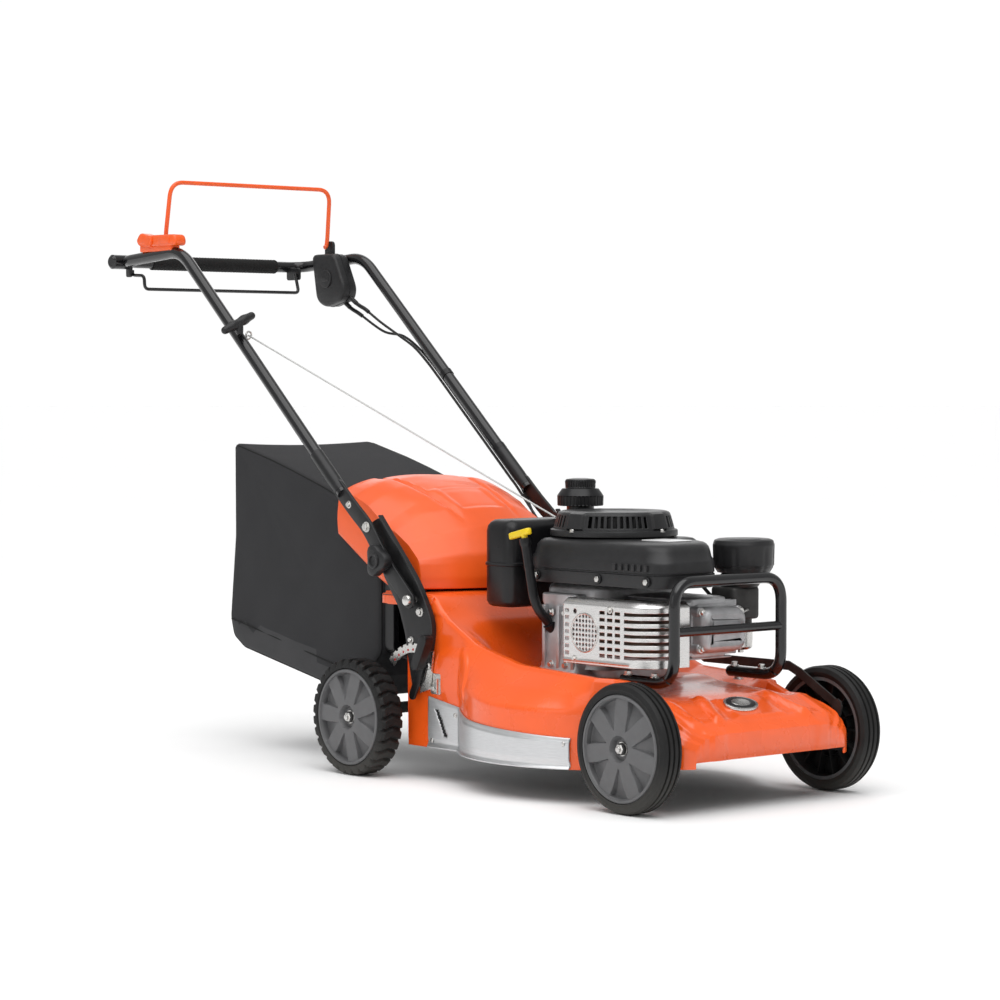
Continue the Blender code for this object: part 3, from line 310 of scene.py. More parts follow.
def piece(name, shells, looks, body, nodes=(), sharp=38.0, thick=0.0, edge=0.0, face_looks=None):
    """One object from shells, faces outwards, smooth where the surface turns by less than sharp degrees."""
    verts, faces, indices, start = [], [], [], 0
    for points, quads_of, look in shells:
        verts.append(points)
        faces += [[k + start for k in f] for f in quads_of]
        indices += [look] * len(quads_of)
        start += len(points)
    mesh = bpy.data.meshes.new(name)
    mesh.from_pydata(np.concatenate(verts).tolist(), [], faces)
    mesh.polygons.foreach_set("material_index", face_looks if face_looks is not None else indices)
    for look in looks:
        mesh.materials.append(look)
    work = bmesh.new()
    work.from_mesh(mesh)
    bmesh.ops.remove_doubles(work, verts=work.verts, dist=1e-6)
    bmesh.ops.recalc_face_normals(work, faces=work.faces)
    if thick > 0.0:
        middle = np.array([v.co for v in work.verts]).mean(axis=0)
        outward = sum((f.calc_center_median() - type(f.normal)(middle)).dot(f.normal) *
                      f.calc_area() for f in work.faces)
        if outward < 0:
            bmesh.ops.reverse_faces(work, faces=work.faces)
    work.to_mesh(mesh)
    work.free()
    made = bpy.data.objects.new(name, mesh)
    bpy.context.scene.collection.objects.link(made)
    mesh.shade_smooth()
    mesh.set_sharp_from_angle(angle=math.radians(sharp))
    if thick > 0.0:
        solid = made.modifiers.new("Thickness", "SOLIDIFY")
        solid.thickness, solid.offset = thick, -1.0
    if edge > 0.0:
        soft = made.modifiers.new("Edges", "BEVEL")
        soft.width, soft.segments, soft.limit_method, soft.angle_limit = edge, 2, "ANGLE", math.radians(35)
    return settled(made, body, nodes)


def settled(made, body, nodes):
    """Ties a piece to its body, its finish and the CAD nodes it stands for."""
    if body is not None:
        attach(made, body)
    if nodes:
        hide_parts(*nodes)
    return made


def refined(name, node, look, body, edge=0.001, sharp=38.0):
    """A merged copy of a CAD node with softened edges."""
    mesh = frame["nodes"][node].data.copy()
    mesh.name = name
    work = bmesh.new()
    work.from_mesh(mesh)
    bmesh.ops.remove_doubles(work, verts=work.verts, dist=2e-5)
    bmesh.ops.dissolve_limit(work, angle_limit=math.radians(1.0), verts=work.verts, edges=work.edges)
    bmesh.ops.recalc_face_normals(work, faces=work.faces)
    work.to_mesh(mesh)
    work.free()
    mesh.materials.clear()
    mesh.materials.append(look)
    mesh.shade_smooth()
    mesh.set_sharp_from_angle(angle=math.radians(sharp))
    made = bpy.data.objects.new(name, mesh)
    bpy.context.scene.collection.objects.link(made)
    soft = made.modifiers.new("Edges", "BEVEL")
    soft.width, soft.segments, soft.limit_method, soft.angle_limit = edge, 2, "ANGLE", math.radians(40)
    soft.use_clamp_overlap = True
    return settled(made, body, (node,))


# ---------------------------------------------------------------- finishes

def finish(name, colour, rough, metal=0.0, vary=0.10, scale=30.0, bump=0.04, grain=900.0, stretch=(1, 1, 1),
           coat=0.0, kind="plain", second=None, dust=0.0):
    """A node finish: noise shifts the colour and the roughness, a fine pattern lifts the surface."""
    look = bpy.data.materials.new(name)
    look.use_nodes = True
    tree = look.node_tree
    nodes, links = tree.nodes, tree.links
    shader = nodes["Principled BSDF"]
    shader.inputs["Metallic"].default_value = metal
    shader.inputs["Specular IOR Level"].default_value = 0.5 if metal > 0.0 or max(colour) > 0.1 else 0.36
    shader.inputs["Coat Weight"].default_value = coat
    shader.inputs["Coat Roughness"].default_value = 0.06
    where = nodes.new("ShaderNodeTexCoord")
    space = nodes.new("ShaderNodeMapping")
    space.inputs["Scale"].default_value = stretch
    links.new(where.outputs["Object"], space.inputs["Vector"])
    cloud = nodes.new("ShaderNodeTexNoise")
    cloud.inputs["Scale"].default_value = scale
    cloud.inputs["Detail"].default_value = 5.0
    links.new(space.outputs["Vector"], cloud.inputs["Vector"])
    ramp = nodes.new("ShaderNodeValToRGB")
    low = [max(c * (1 - vary), 0.0) for c in colour]
    high = [min(c * (1 + vary), 1.0) for c in (second or colour)]
    ramp.color_ramp.elements[0].position, ramp.color_ramp.elements[1].position = 0.3, 0.7
    ramp.color_ramp.elements[0].color = (*low, 1.0)
    ramp.color_ramp.elements[1].color = (*high, 1.0)
    links.new(cloud.outputs["Fac"], ramp.inputs["Fac"])
    tint = ramp.outputs["Color"]
    shine = nodes.new("ShaderNodeMapRange")
    shine.inputs["To Min"].default_value = max(rough - 0.07, 0.02)
    shine.inputs["To Max"].default_value = min(rough + 0.09, 1.0)
    links.new(cloud.outputs["Fac"], shine.inputs["Value"])
    fine = nodes.new("ShaderNodeTexNoise")
    fine.inputs["Scale"].default_value = grain
    fine.inputs["Detail"].default_value = 3.0
    links.new(space.outputs["Vector"], fine.inputs["Vector"])
    height = fine.outputs["Fac"]
    if kind == "weave":
        waves = []
        for direction in ("X", "Z"):
            wave = nodes.new("ShaderNodeTexWave")
            wave.bands_direction = direction
            wave.inputs["Scale"].default_value = grain / 6.0
            wave.inputs["Distortion"].default_value = 0.6
            links.new(space.outputs["Vector"], wave.inputs["Vector"])
            waves.append(wave.outputs["Fac"])
        mixed = nodes.new("ShaderNodeMath")
        mixed.operation = "MULTIPLY"
        links.new(waves[0], mixed.inputs[0])
        links.new(waves[1], mixed.inputs[1])
        height = mixed.outputs["Value"]
        thread = nodes.new("ShaderNodeMix")
        thread.data_type = "RGBA"
        links.new(height, thread.inputs["Factor"])
        links.new(tint, thread.inputs["A"])
        thread.inputs["B"].default_value = (*[c * 1.35 for c in colour], 1.0)
        tint = thread.outputs["Result"]
    if kind == "pitted":
        pits = nodes.new("ShaderNodeTexVoronoi")
        pits.inputs["Scale"].default_value = grain
        links.new(space.outputs["Vector"], pits.inputs["Vector"])
        height = pits.outputs["Distance"]
    if dust > 0.0:
        split = nodes.new("ShaderNodeSeparateXYZ")
        links.new(where.outputs["Object"], split.inputs["Vector"])
        near = nodes.new("ShaderNodeMapRange")
        near.inputs["From Min"].default_value, near.inputs["From Max"].default_value = 0.0, 0.09
        near.inputs["To Min"].default_value, near.inputs["To Max"].default_value = dust, 0.0
        links.new(split.outputs["Z"], near.inputs["Value"])
        dirt = nodes.new("ShaderNodeMix")
        dirt.data_type = "RGBA"
        links.new(near.outputs["Result"], dirt.inputs["Factor"])
        links.new(tint, dirt.inputs["A"])
        dirt.inputs["B"].default_value = (0.16, 0.15, 0.13, 1.0)
        tint = dirt.outputs["Result"]
    relief = nodes.new("ShaderNodeBump")
    relief.inputs["Strength"].default_value = bump
    relief.inputs["Distance"].default_value = 0.0006
    links.new(height, relief.inputs["Height"])
    links.new(tint, shader.inputs["Base Color"])
    links.new(shine.outputs["Result"], shader.inputs["Roughness"])
    links.new(relief.outputs["Normal"], shader.inputs["Normal"])
    look.diffuse_color = (*colour, 1.0)
    return look


LOOKS = {}


def make_looks(settings):
    """Every finish on the mower, by its plain name."""
    orange = tuple(settings.paint)
    dark = (0.006, 0.006, 0.007)
    LOOKS.update(
        paint=finish("orange_paint", orange, 0.26, vary=0.05, scale=14, bump=0.03, grain=420, coat=0.35),
        shell=finish("orange_plastic", orange, 0.32, vary=0.04, scale=20, bump=0.05, grain=1400, coat=0.12),
        trim=finish("bright_trim", (0.66, 0.67, 0.68), 0.34, 0.85, 0.06, 60, 0.12, 500, (1, 1, 14)),
        tube=finish("black_tube_paint", dark, 0.22, 0.0, 0.20, 25, 0.05, 700, coat=0.5),
        plate=finish("black_plate", (0.016, 0.016, 0.017), 0.36, 0.25, 0.25, 40, 0.10, 900),
        dark_steel=finish("dark_steel", (0.055, 0.054, 0.053), 0.52, 0.7, 0.30, 35, 0.20, 600),
        zinc=finish("zinc_steel", (0.62, 0.61, 0.59), 0.26, 1.0, 0.12, 90, 0.15, 1200),
        cast=finish("cast_aluminium", (0.50, 0.50, 0.51), 0.42, 0.85, 0.14, 45, 0.45, 1100, kind="pitted"),
        guard=finish("guard_steel", (0.72, 0.71, 0.70), 0.27, 1.0, 0.07, 40, 0.10, 380, (1, 1, 20)),
        charcoal=finish("charcoal_plastic", (0.017, 0.017, 0.018), 0.36, 0.0, 0.15, 60, 0.22, 1500,
                        kind="pitted"),
        black=finish("black_plastic", (0.007, 0.007, 0.008), 0.30, 0.0, 0.20, 40, 0.12, 1300),
        rubber=finish("tyre_rubber", (0.007, 0.007, 0.007), 0.60, 0.0, 0.35, 70, 0.35, 800, dust=0.25),
        wheel=finish("wheel_grey", (0.112, 0.112, 0.115), 0.44, 0.0, 0.08, 60, 0.22, 1500, kind="pitted"),
        # Near-black finish for the bore and the back of each wheel disc, inside its dish: painted shade.
        wheel_back=finish("wheel_inside_painted_shade", (0.010, 0.010, 0.010), 0.5, 0.0, 0.2, 60, 0.2, 1200),
        foam=finish("foam_grip", (0.008, 0.008, 0.008), 0.82, 0.0, 0.30, 120, 0.6, 1600, kind="pitted"),
        cloth=finish("bag_cloth", (0.029, 0.029, 0.031), 0.86, 0.0, 0.10, 30, 0.5, 3600, kind="weave"),
        cloth_low=finish("bag_base_cloth", (0.038, 0.038, 0.040), 0.66, 0.0, 0.12, 30, 0.25, 2600,
                         kind="weave"),
        seam=finish("bag_seam", (0.012, 0.012, 0.012), 0.85, 0.0, 0.2, 200, 0.5, 2400),
        yellow=finish("yellow_plastic", (0.86, 0.62, 0.01), 0.36, 0.0, 0.06, 80, 0.08, 1200),
        rope=finish("rope_white", (0.60, 0.60, 0.59), 0.75, 0.0, 0.15, 900, 0.6, 2600),
        label=finish("blank_label", (0.80, 0.80, 0.80), 0.35, 0.0, 0.03, 60, 0.03, 900),
        cable=finish("cable_sheath", (0.012, 0.012, 0.012), 0.42, 0.0, 0.2, 120, 0.2, 1500),
        red=finish("red_mark", (0.45, 0.02, 0.02), 0.4, 0.0, 0.1, 90, 0.1, 1000),
        muffler=finish("muffler_steel", (0.10, 0.085, 0.075), 0.55, 0.8, 0.35, 30, 0.25, 500,
                       second=(0.16, 0.12, 0.09)),
    )


# ---------------------------------------------------------------- deck and bag

def along(x, places, values, reach=0.012):
    """A piecewise line through (place, value) points, averaged over a short reach so that its bends are soft."""
    return np.mean([np.interp(x + d, places, values) for d in np.linspace(-reach, reach, 7)], axis=0)


def ridge_height(x):
    """Height of the deck's side ridge along the mower."""
    return along(x, [0.02, 0.140, 0.160, 0.190, 0.273, 0.376, 0.506, 0.617, 0.660, 0.705, 0.745, 0.765,
                     0.7775],
                 [0.322, 0.322, 0.320, 0.284, 0.240, 0.216, 0.210, 0.204, 0.188, 0.164, 0.147, 0.136, 0.118],
                 0.010)


def middle_height(x):
    """Height of the deck's middle along the mower."""
    return along(x, [0.02, 0.145, 0.170, 0.215, 0.265, 0.510, 0.540, 0.660, 0.700, 0.735, 0.765, 0.7775],
                 [0.322, 0.322, 0.305, 0.272, 0.190, 0.190, 0.182, 0.176, 0.169, 0.153, 0.143, 0.122], 0.010)


def skirt_half(x):
    """Half the deck's width at its lower edge: a circle round the blade, straight behind and ahead of it."""
    circle = np.maximum(np.sqrt(np.maximum(HOUSING_RADIUS ** 2 - (x - BLADE_CENTRE) ** 2, 0.0)), 0.202)
    line = np.interp(x, [0.02, 0.200, 0.565, 0.590, 0.700, 0.725, 0.755, 0.770, 0.7775],
                     [0.200, 0.202, 0.202, 0.180, 0.180, 0.193, 0.195, 0.185, 0.168])
    return np.where((x > 0.20) & (x < 0.565), circle, line)


def deck_grid(x):
    """Cross-sections from the left lower edge over the top to the right lower edge, corners eased."""
    skirt = np.mean([skirt_half(x + d) for d in np.linspace(-0.004, 0.004, 5)], axis=0)
    ridge = np.where(x < 0.62, np.minimum(skirt - 0.004, 0.198), skirt - 0.014)
    top, middle = ridge_height(x), middle_height(x)
    bottom = np.where(x < 0.0905, 0.300, np.interp(x, [0.091, 0.560, 0.640, 0.700],
                                                   [0.056, 0.056, 0.066, 0.075]))
    valley = np.minimum(0.130, ridge - 0.035)
    shoulder = bottom + 0.62 * (top - bottom)
    drop = 0.018 * np.interp(x, [0.36, 0.42, 0.66, 0.70], [0, 1, 1, 0])
    zero = np.zeros_like(x)
    half = [(valley - 0.02, middle, zero), (valley + 0.012, middle + 0.25 * (top - middle), drop),
            (ridge - 0.016, top - 0.001, drop), (ridge - 0.004, top - 0.001, drop),
            (ridge, top - 0.008, drop),
            (0.5 * (ridge + skirt), 0.5 * (top + shoulder), drop), (skirt, shoulder, zero),
            (skirt, bottom, zero)]
    left = [np.stack([x, y, z - d], 1) for y, z, d in half[::-1]]
    right = [np.stack([x, -y, z], 1) for y, z, d in half]
    return eased(np.stack(left + [np.stack([x, zero, middle], 1)] + right, 1), 0.011, 3)


def deck_relief(p):
    """Moves the deck's skin: pressed arch and step on the sides, ribs and a pad on the nose."""
    x, y, z = p[..., 0], p[..., 1], p[..., 2]
    side = smooth_step(np.abs(y), 0.180, 0.197)
    arch = ((x - 0.215) / 0.062) ** 2 + ((z - 0.150) / 0.095) ** 2
    panel = smooth_step(-arch, -1.12, -0.92) * smooth_step(z, 0.146, 0.156)
    swell = 0.0034 * panel * side * smooth_step(-z, -0.235, -0.215)
    lip = 0.0006 * np.exp(-((z - 0.070) / 0.004) ** 2) * side
    tower = 0.0026 * smooth_step(z, 0.284, 0.290) * side * smooth_step(-x, -0.19, -0.17)
    p[..., 1] += np.sign(y) * (swell + lip + tower)
    nose = smooth_step(x, 0.665, 0.690) * smooth_step(-x, -0.768, -0.752)
    lean = 0.35 * (x - 0.71)
    rib = np.exp(-(((np.abs(y) - 0.082 - lean) / 0.011) ** 4))
    pad = smooth_step(-np.abs(y), -0.060, -0.050) * smooth_step(x, 0.690, 0.697) * smooth_step(-x, -0.760,
                                                                                               -0.753)
    outer = np.exp(-(((np.abs(y) - 0.150) / 0.012) ** 4)) * 0.6
    p[..., 2] += nose * (0.0085 * rib + 0.0050 * outer) + 0.0034 * pad
    facet = smooth_step(x, 0.764, 0.772) * (np.exp(-((np.abs(y) - 0.120) / 0.016) ** 4))
    p[..., 0] += 0.0022 * facet
    seat = smooth_step(-(((x - 0.40) / 0.118) ** 2 + (y / 0.118) ** 2), -1.05, -0.98)
    p[..., 2] -= 0.0008 * seat
    return p


def deck():
    """Deck skin over x from back to front, thickened inwards, with a pressed collar line under the flap."""
    x = np.unique(np.concatenate([np.linspace(0.020, 0.0900, 14), np.linspace(0.0908, 0.30, 90),
                                  np.linspace(0.30, 0.66, 110), np.linspace(0.66, 0.7775, 70)]))
    grid = deck_grid(x)
    lip = grid[-1:].copy()
    lip[..., 2] = np.minimum(DECK_LIP_HEIGHT, lip[..., 2])
    grid = deck_relief(np.concatenate([grid, lip]))
    points = grid.reshape(-1, 3)
    shells = [(points, quads(grid.shape[0], grid.shape[1]), 0)]
    body = piece("deck_body", shells, [LOOKS["paint"], LOOKS["dark_steel"]], "chassis",
                 ("deck_shell",), 42,
                 0.0032)
    # The thickened inner face takes the dark steel finish: painted shade under the deck, where the real underside is
    # orange.
    body.modifiers["Thickness"].material_offset = 1
    collar = []
    for y in (-1.0, 1.0):
        outline = corners([(0.028, 0.2985), (0.150, 0.2985), (0.163, 0.318), (0.028, 0.318)], 0.006)
        low, high = sorted((y * 0.1985, y * 0.2022))
        collar.append(slab(outline, low, high, 0.0015, "Y"))
    piece("deck_edging", collar, [LOOKS["paint"]], "chassis")
    ovals = []
    a = np.linspace(0, 2 * math.pi, 64, endpoint=False)
    for size, low, high, look in ((1.0, -0.002, 0.0024, 0), (0.86, 0.0, 0.0031, 1), (0.55, 0.0, 0.0035, 0)):
        oval = np.stack([0.722 + 0.0200 * size * np.cos(a), -0.016 + 0.0350 * size * np.sin(a)], 1)
        points, faces, _ = slab(oval, low, high, 0.0008)
        slope = np.interp(points[:, 0], [0.70, 0.735, 0.76], [0.1735, 0.1590, 0.1495])
        points[:, 2] += slope
        ovals.append((points, faces, look))
    piece("front_badge", ovals, [LOOKS["zinc"], LOOKS["plate"]], "chassis")
    bolts = []
    for x, y in ((0.560, -0.150), (0.330, -0.150), (0.330, 0.140), (0.560, 0.140)):
        z = 0.190 if x < 0.5 else 0.183
        bolts += bolt((x, y), "Z", z, z + 0.009, 0.0065)
    piece("deck_bolts", bolts, [LOOKS["zinc"]], "chassis")


def trims():
    """Bright guard strips: lower lip, stepped blank panel and a slanting slot near the rear end."""
    for side, name in ((-1, "right"), (1, "left")):
        x = np.linspace(0.150, 0.540, 150)
        share = np.linspace(0.0, 1.0, 34)[None, :]
        top = np.interp(x, [0.150, 0.185, 0.30, 0.540], [0.146, 0.140, 0.122, 0.108])[:, None]
        z = 0.0565 + (top - 0.0565) * share
        half = skirt_half(x)[:, None] + 0.0040 + 0 * share
        step = 0.0016 * smooth_step(x, 0.278, 0.284)[:, None]
        panel = step * smooth_step(share, 0.22, 0.28) * smooth_step(-share, -0.90, -0.84)
        lip = 0.0028 * smooth_step(-share, -0.075, -0.03) - 0.0012 * np.exp(-((share - 0.13) / 0.03) ** 2)
        edge = 0.0015 * smooth_step(share, 0.94, 1.0)
        grid = np.stack([np.repeat(x[:, None], 34, 1), side * (half + panel + lip - edge), z], 2)
        xx = np.repeat(x[:, None], 34, 1)
        slant = xx[:-1, :-1] - 0.186 + 0.55 * (z[:-1, :-1] - 0.098)
        keep = ~((np.abs(slant) < 0.0046) & (z[:-1, :-1] > 0.078) & (z[:-1, :-1] < 0.122))
        piece("side_trim_" + name + "_panel", [(grid.reshape(-1, 3), quads(150, 34, keep=keep), 0)],
              [LOOKS["trim"]], "chassis", ("side_trim_" + name,), 40, 0.0020)
        # Black plates behind the slanting slot: painted shade that makes the slot read dark over the orange deck
        # behind it.
        strip = []
        for px, pz in ((0.170, 0.120), (0.180, 0.108), (0.190, 0.096), (0.200, 0.084)):
            py = float(skirt_half(np.array([px]))[0]) + 0.0019
            strip.append(box_slab((px - 0.013, side * py - 0.0006, pz - 0.0075),
                                  (px + 0.013, side * py + 0.0006, pz + 0.0075),
                                  0.003, 0.0003, "Y"))
        piece("trim_slot_painted_shade_" + name, strip, [LOOKS["black"]], "chassis")
        rivets = []
        for px, pz in ((0.162, 0.070), (0.225, 0.118), (0.530, 0.098)):
            py = float(skirt_half(np.array([px]))[0]) + 0.004
            low, high = sorted((side * py, side * (py + 0.0022)))
            rivets.append(slab(disc((px, pz), 0.0042, 20), low, high, 0.001, "Y"))
        piece("trim_rivets_" + name, rivets, [LOOKS["zinc"]], "chassis")


def rear_flap():
    """Moulded flap: a side outline carried across, falling away towards both sides, with a raised middle panel."""
    line = np.array([[(-0.1385, 0, 0.5000), (-0.134, 0, 0.5205), (-0.090, 0, 0.522), (-0.050, 0, 0.512),
                      (0.000, 0, 0.496),
                      (0.050, 0, 0.472), (0.100, 0, 0.433), (0.135, 0, 0.388), (0.150, 0, 0.345),
                      (0.150, 0, 0.3255)]])
    line = respaced(eased(line, 0.012, 3)[0], 110)
    base = np.interp(line[:, 0], [-0.1385, -0.09, -0.03, 0.03, 0.15], [0.415, 0.385, 0.348, 0.3265, 0.3250])
    share = np.sin(np.linspace(-math.pi / 2, math.pi / 2, 121) * 0.97) / math.sin(math.pi / 2 * 0.97)
    x0, z0 = line[:, 0][:, None], line[:, 2][:, None]
    back = 0.050 * share ** 2 * np.clip((x0 + 0.050) / 0.200, 0.0, 1.0)
    fall = np.interp(x0, [-0.14, -0.05, 0.0, 0.15], [0.030, 0.045, 0.055, 0.060])
    high = np.clip((z0 - 0.37) / 0.12, 0.0, 1.0)
    y = share * FLAP_HALF_WIDTH
    x = x0 - back
    z = z0 - fall * np.abs(share) ** 2.2 * high
    wide = np.interp(x0, [-0.14, 0.0, 0.06, 0.12], [0.084, 0.067, 0.060, 0.055])
    over = smooth_step(-x0, -0.090, -0.030)
    gone = np.abs(y)
    groove = np.exp(-(((gone - wide - 0.007) / 0.0055) ** 2))
    middle = smooth_step(-(gone - wide), -0.001, 0.003)
    lobe = np.exp(-(((gone - 0.130) / 0.030) ** 4))
    shelf = smooth_step(-x0, 0.012, 0.020) + 0.0 * y
    z = z + over * (-0.0075 * groove - 0.0030 * middle * shelf + 0.0020 * lobe)
    dish = smooth_step(x0, -0.026, -0.006) * smooth_step(-x0, -0.062, -0.050) * smooth_step(-gone, -0.052,
                                                                                            -0.043)
    z = z - 0.0040 * dish
    lip = smooth_step(-x0, 0.126, 0.134)
    z = z + 0.0018 * lip
    z[:, :] = np.maximum(z, base[:, None] + 0.0015)
    notch = np.exp(-(((gone - 0.090) / 0.010) ** 2))
    x = x + 0.010 * notch * smooth_step(-x0, 0.118, 0.138)
    top = np.stack([x, np.broadcast_to(y, x.shape), z], 2)
    t = np.linspace(0.0, 1.0, 15)[:-1][None, :, None]
    walls = []
    for k, sign in ((0, -1), (-1, 1)):
        edge = top[:, [k]]
        foot = edge.copy()
        foot[..., 2] = np.minimum(base[:, None], edge[..., 2])
        wall = foot + t * (edge - foot)
        wall[..., 1] += sign * 0.0022 * np.sin(math.pi * t[..., 0])
        walls.append(wall)
    grid = np.concatenate([walls[0], top, walls[1][:, ::-1]], axis=1)
    piece("flap_cover", [(grid.reshape(-1, 3), quads(grid.shape[0], grid.shape[1]), 0)], [LOOKS["shell"]],
          "flap",
          ("rear_flap",), 40, 0.0028)
    hinge = []
    for y in (-0.045, 0.045):
        hinge.append(lathe(soft_profile([(0.0024, y - 0.010), (0.0038, y - 0.010), (0.0038, y + 0.010),
                                         (0.0024, y + 0.010)],
                                        0.001), (0.1390, 0.3330), "Y", 20))
    hinge.append(tube(np.array([(0.1390, -0.058, 0.3330), (0.1390, 0.0, 0.3330), (0.1390, 0.058, 0.3330)]),
                      0.0025, 12,
                      (0, 0, 1)))
    piece("flap_hinge", hinge, [LOOKS["zinc"]], "flap")


def grass_bag():
    """Sewn bag: a closed side outline lofted across, sagging between its seams, open at the mouth."""
    side = np.array([[(x, 0.0, z) for x, z in
                      [(-0.300, 0.528), (-0.195, 0.4965), (-0.100, 0.461), (-0.031, 0.439), (-0.031, 0.205),
                       (-0.080, 0.150),
                       (-0.100, 0.119), (-0.220, 0.142), (-0.452, 0.187), (-0.486, 0.208), (-0.496, 0.242),
                       (-0.479, 0.400),
                       (-0.480, 0.574), (-0.364, 0.546), (-0.300, 0.528)]]])
    ring = respaced(eased(side, 0.016, 3)[0], 260)[:-1]
    hub_point = np.array([-0.250, 0.0, 0.335])
    away = ring - hub_point
    edge = 0.013
    turn = np.linspace(0.0, math.pi / 2, 7)
    inner = np.array([0.04, 0.2, 0.38, 0.55, 0.70, 0.82, 0.90])
    size = np.linalg.norm(away, axis=1).mean()
    panel = [(s, BAG_HALF_WIDTH) for s in inner]
    rim = [(1 - edge / size * (1 - math.sin(a)), BAG_HALF_WIDTH - edge * (1 - math.cos(a))) for a in turn]
    across = [(1.0, y) for y in np.linspace(0.145, -0.145, 56)]
    path = panel + rim + across + [(s, -y) for s, y in rim[::-1]] + [(s, -y) for s, y in panel[::-1]]
    scale = np.array([s for s, _ in path])[:, None, None]
    place = np.array([y for _, y in path])[:, None]
    grid = hub_point + scale * away[None]
    grid[..., 1] = place
    x, z = grid[..., 0], grid[..., 2]
    ends = smooth_step(-scale[..., 0], -0.995, -0.80)
    sag = np.sin(x * 31 + z * 23) * 0.5 + np.sin(x * 57 - z * 41 + 1.3) * 0.3 + np.sin(z * 90 + x * 13) * 0.2
    billow = ends * (0.0035 * sag - 0.004 * np.exp(-(((x + 0.27) / 0.13) ** 2 + ((z - 0.34) / 0.10) ** 2)))
    seam_line = z - (0.1416 - 0.206 * x)
    stitch = np.exp(-(seam_line / 0.0035) ** 2) * ends
    grid[..., 1] += np.sign(place) * (billow - 0.0022 * stitch)
    top = smooth_step(z, 0.40, 0.44) * (scale[..., 0] > 0.98)
    rear = smooth_step(-x, 0.46, 0.475) * (scale[..., 0] > 0.98)
    hang = np.sin(math.pi * np.clip((place / BAG_HALF_WIDTH + 1) / 2, 0, 1))
    grid[..., 2] -= top * hang * 0.005 * smooth_step(-x, 0.05, 0.10)
    grid[..., 0] -= rear * hang * (0.003 + 0.0016 * np.sin(z * 60))
    grid[..., 0] = np.minimum(grid[..., 0], -0.0305)
    rows, cols = grid.shape[:2]
    middle = 0.25 * (grid[:-1] + grid[1:] + np.roll(grid[:-1], -1, 1) + np.roll(grid[1:], -1, 1))
    mouth = (middle[..., 0] > -0.036) & (np.abs(middle[..., 1]) < 0.145) & (middle[...,
                                                                                   2] > 0.222) & (middle[...,
                                                                                                         2] < 0.424)
    faces = quads(rows, cols, False, True, ~mouth)
    low = (middle[..., 2] < 0.1416 - 0.206 * middle[..., 0])[~mouth]
    faces.append(list(range(cols)))
    faces.append([(rows - 1) * cols + k for k in range(cols)][::-1])
    marks = low.astype(int).ravel().tolist() + [0, 0]
    piece("bag_shell", [(grid.reshape(-1, 3), faces, 0)], [LOOKS["cloth"], LOOKS["cloth_low"]], "bag",
          ("grass_bag",), 60, 0.0022, face_looks=marks)
    seams = []
    for y in (-1, 1):
        loop = hub_point + away * (1 - 0.293 * edge / size)
        loop[:, 1] = y * 0.1612
        loop[:, 0] = np.minimum(loop[:, 0], -0.034)
        seams.append(tube(np.concatenate([loop, loop[:1]]), 0.0014, 8, (0, 1, 0)))
        across_seam = flowing([(-0.486, y * 0.1655, 0.241), (-0.400, y * 0.1640, 0.2235),
                               (-0.334, y * 0.1640, 0.2100),
                               (-0.240, y * 0.1640, 0.1905), (-0.150, y * 0.1650, 0.1720),
                               (-0.092, y * 0.1655, 0.1600)], 60)
        seams.append(tube(across_seam, 0.0013, 8, (0, 1, 0)))
    piece("bag_seams", seams, [LOOKS["seam"]], "bag")
    low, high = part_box("bag_frame")
    outer = corners([(low[1], low[2]), (high[1], low[2]), (high[1], high[2]), (low[1], high[2])], 0.016, 6)
    inner_ring = corners([(low[1] + 0.013, low[2] + 0.015), (high[1] - 0.013, low[2] + 0.015),
                          (high[1] - 0.013, high[2] - 0.013), (low[1] + 0.013, high[2] - 0.013)], 0.010, 6)
    rings = []
    for outline, x, inset in ((outer, low[0], 0.001), (outer, low[0] + 0.001, 0), (outer, high[0] - 0.001, 0),
                              (outer, high[0], 0.001), (inner_ring, high[0], -0.001),
                              (inner_ring, high[0] - 0.001, 0),
                              (inner_ring, low[0] + 0.001, 0), (inner_ring, low[0], -0.001)):
        ring2 = offset(outline, inset)
        rings.append(np.stack([np.full(len(ring2), x), ring2[:, 0], ring2[:, 1]], 1))
    piece("bag_mouth_frame", [loft(rings, wrap_rows=True)], [LOOKS["black"]], "bag",
          ("bag_frame",))


# ---------------------------------------------------------------- wheels

def front_tyre_profile(cover, faces):
    """Half section of the front tyre: side walls, rounded shoulders and three grooves round the tread."""
    inner, outer = faces
    r = 0.105
    mid = 0.5 * (inner + outer)
    line = [(cover, inner + 0.003), (r - 0.014, inner + 0.001), (r - 0.010, inner),
            (r - 0.003, inner + 0.003), (r, inner + 0.009)]
    for y in (mid - 0.0105, mid, mid + 0.0105):
        line += [(r, y - 0.0022), (r - 0.0030, y - 0.0014), (r - 0.0030, y + 0.0014), (r, y + 0.0022)]
    line += [(r, outer - 0.009), (r - 0.003, outer - 0.003), (r - 0.010, outer), (r - 0.014, outer - 0.0012),
             (r - 0.017, outer - 0.0004), (cover, outer - 0.003)]
    return line


def rear_tread(angle, radius, place):
    """Lugs: square-edged waves round the tread, slanting with the place across it."""
    slope = (place - 0.2485) / 0.0235
    wave = np.cos(30 * angle + 2.4 * np.abs(slope))
    block = smooth_step(wave, -0.82, -0.50) - 1.0
    return 0.0052 * block * smooth_step(radius, 0.0880, 0.0945)


def wheel_face(angle, share, pockets, turn):
    """1 inside the seven pockets of the wheel's face, with soft sides."""
    across = np.abs((angle * pockets / (2 * math.pi) + turn) % 1.0 - 0.5)
    width = np.interp(share, [0.34, 0.50, 0.90], [0.02, 0.15, 0.29])
    slant = smooth_step(width - across, 0.0, 0.022)
    return slant * smooth_step(share, 0.34, 0.40) * smooth_step(-share, -0.925, -0.900)


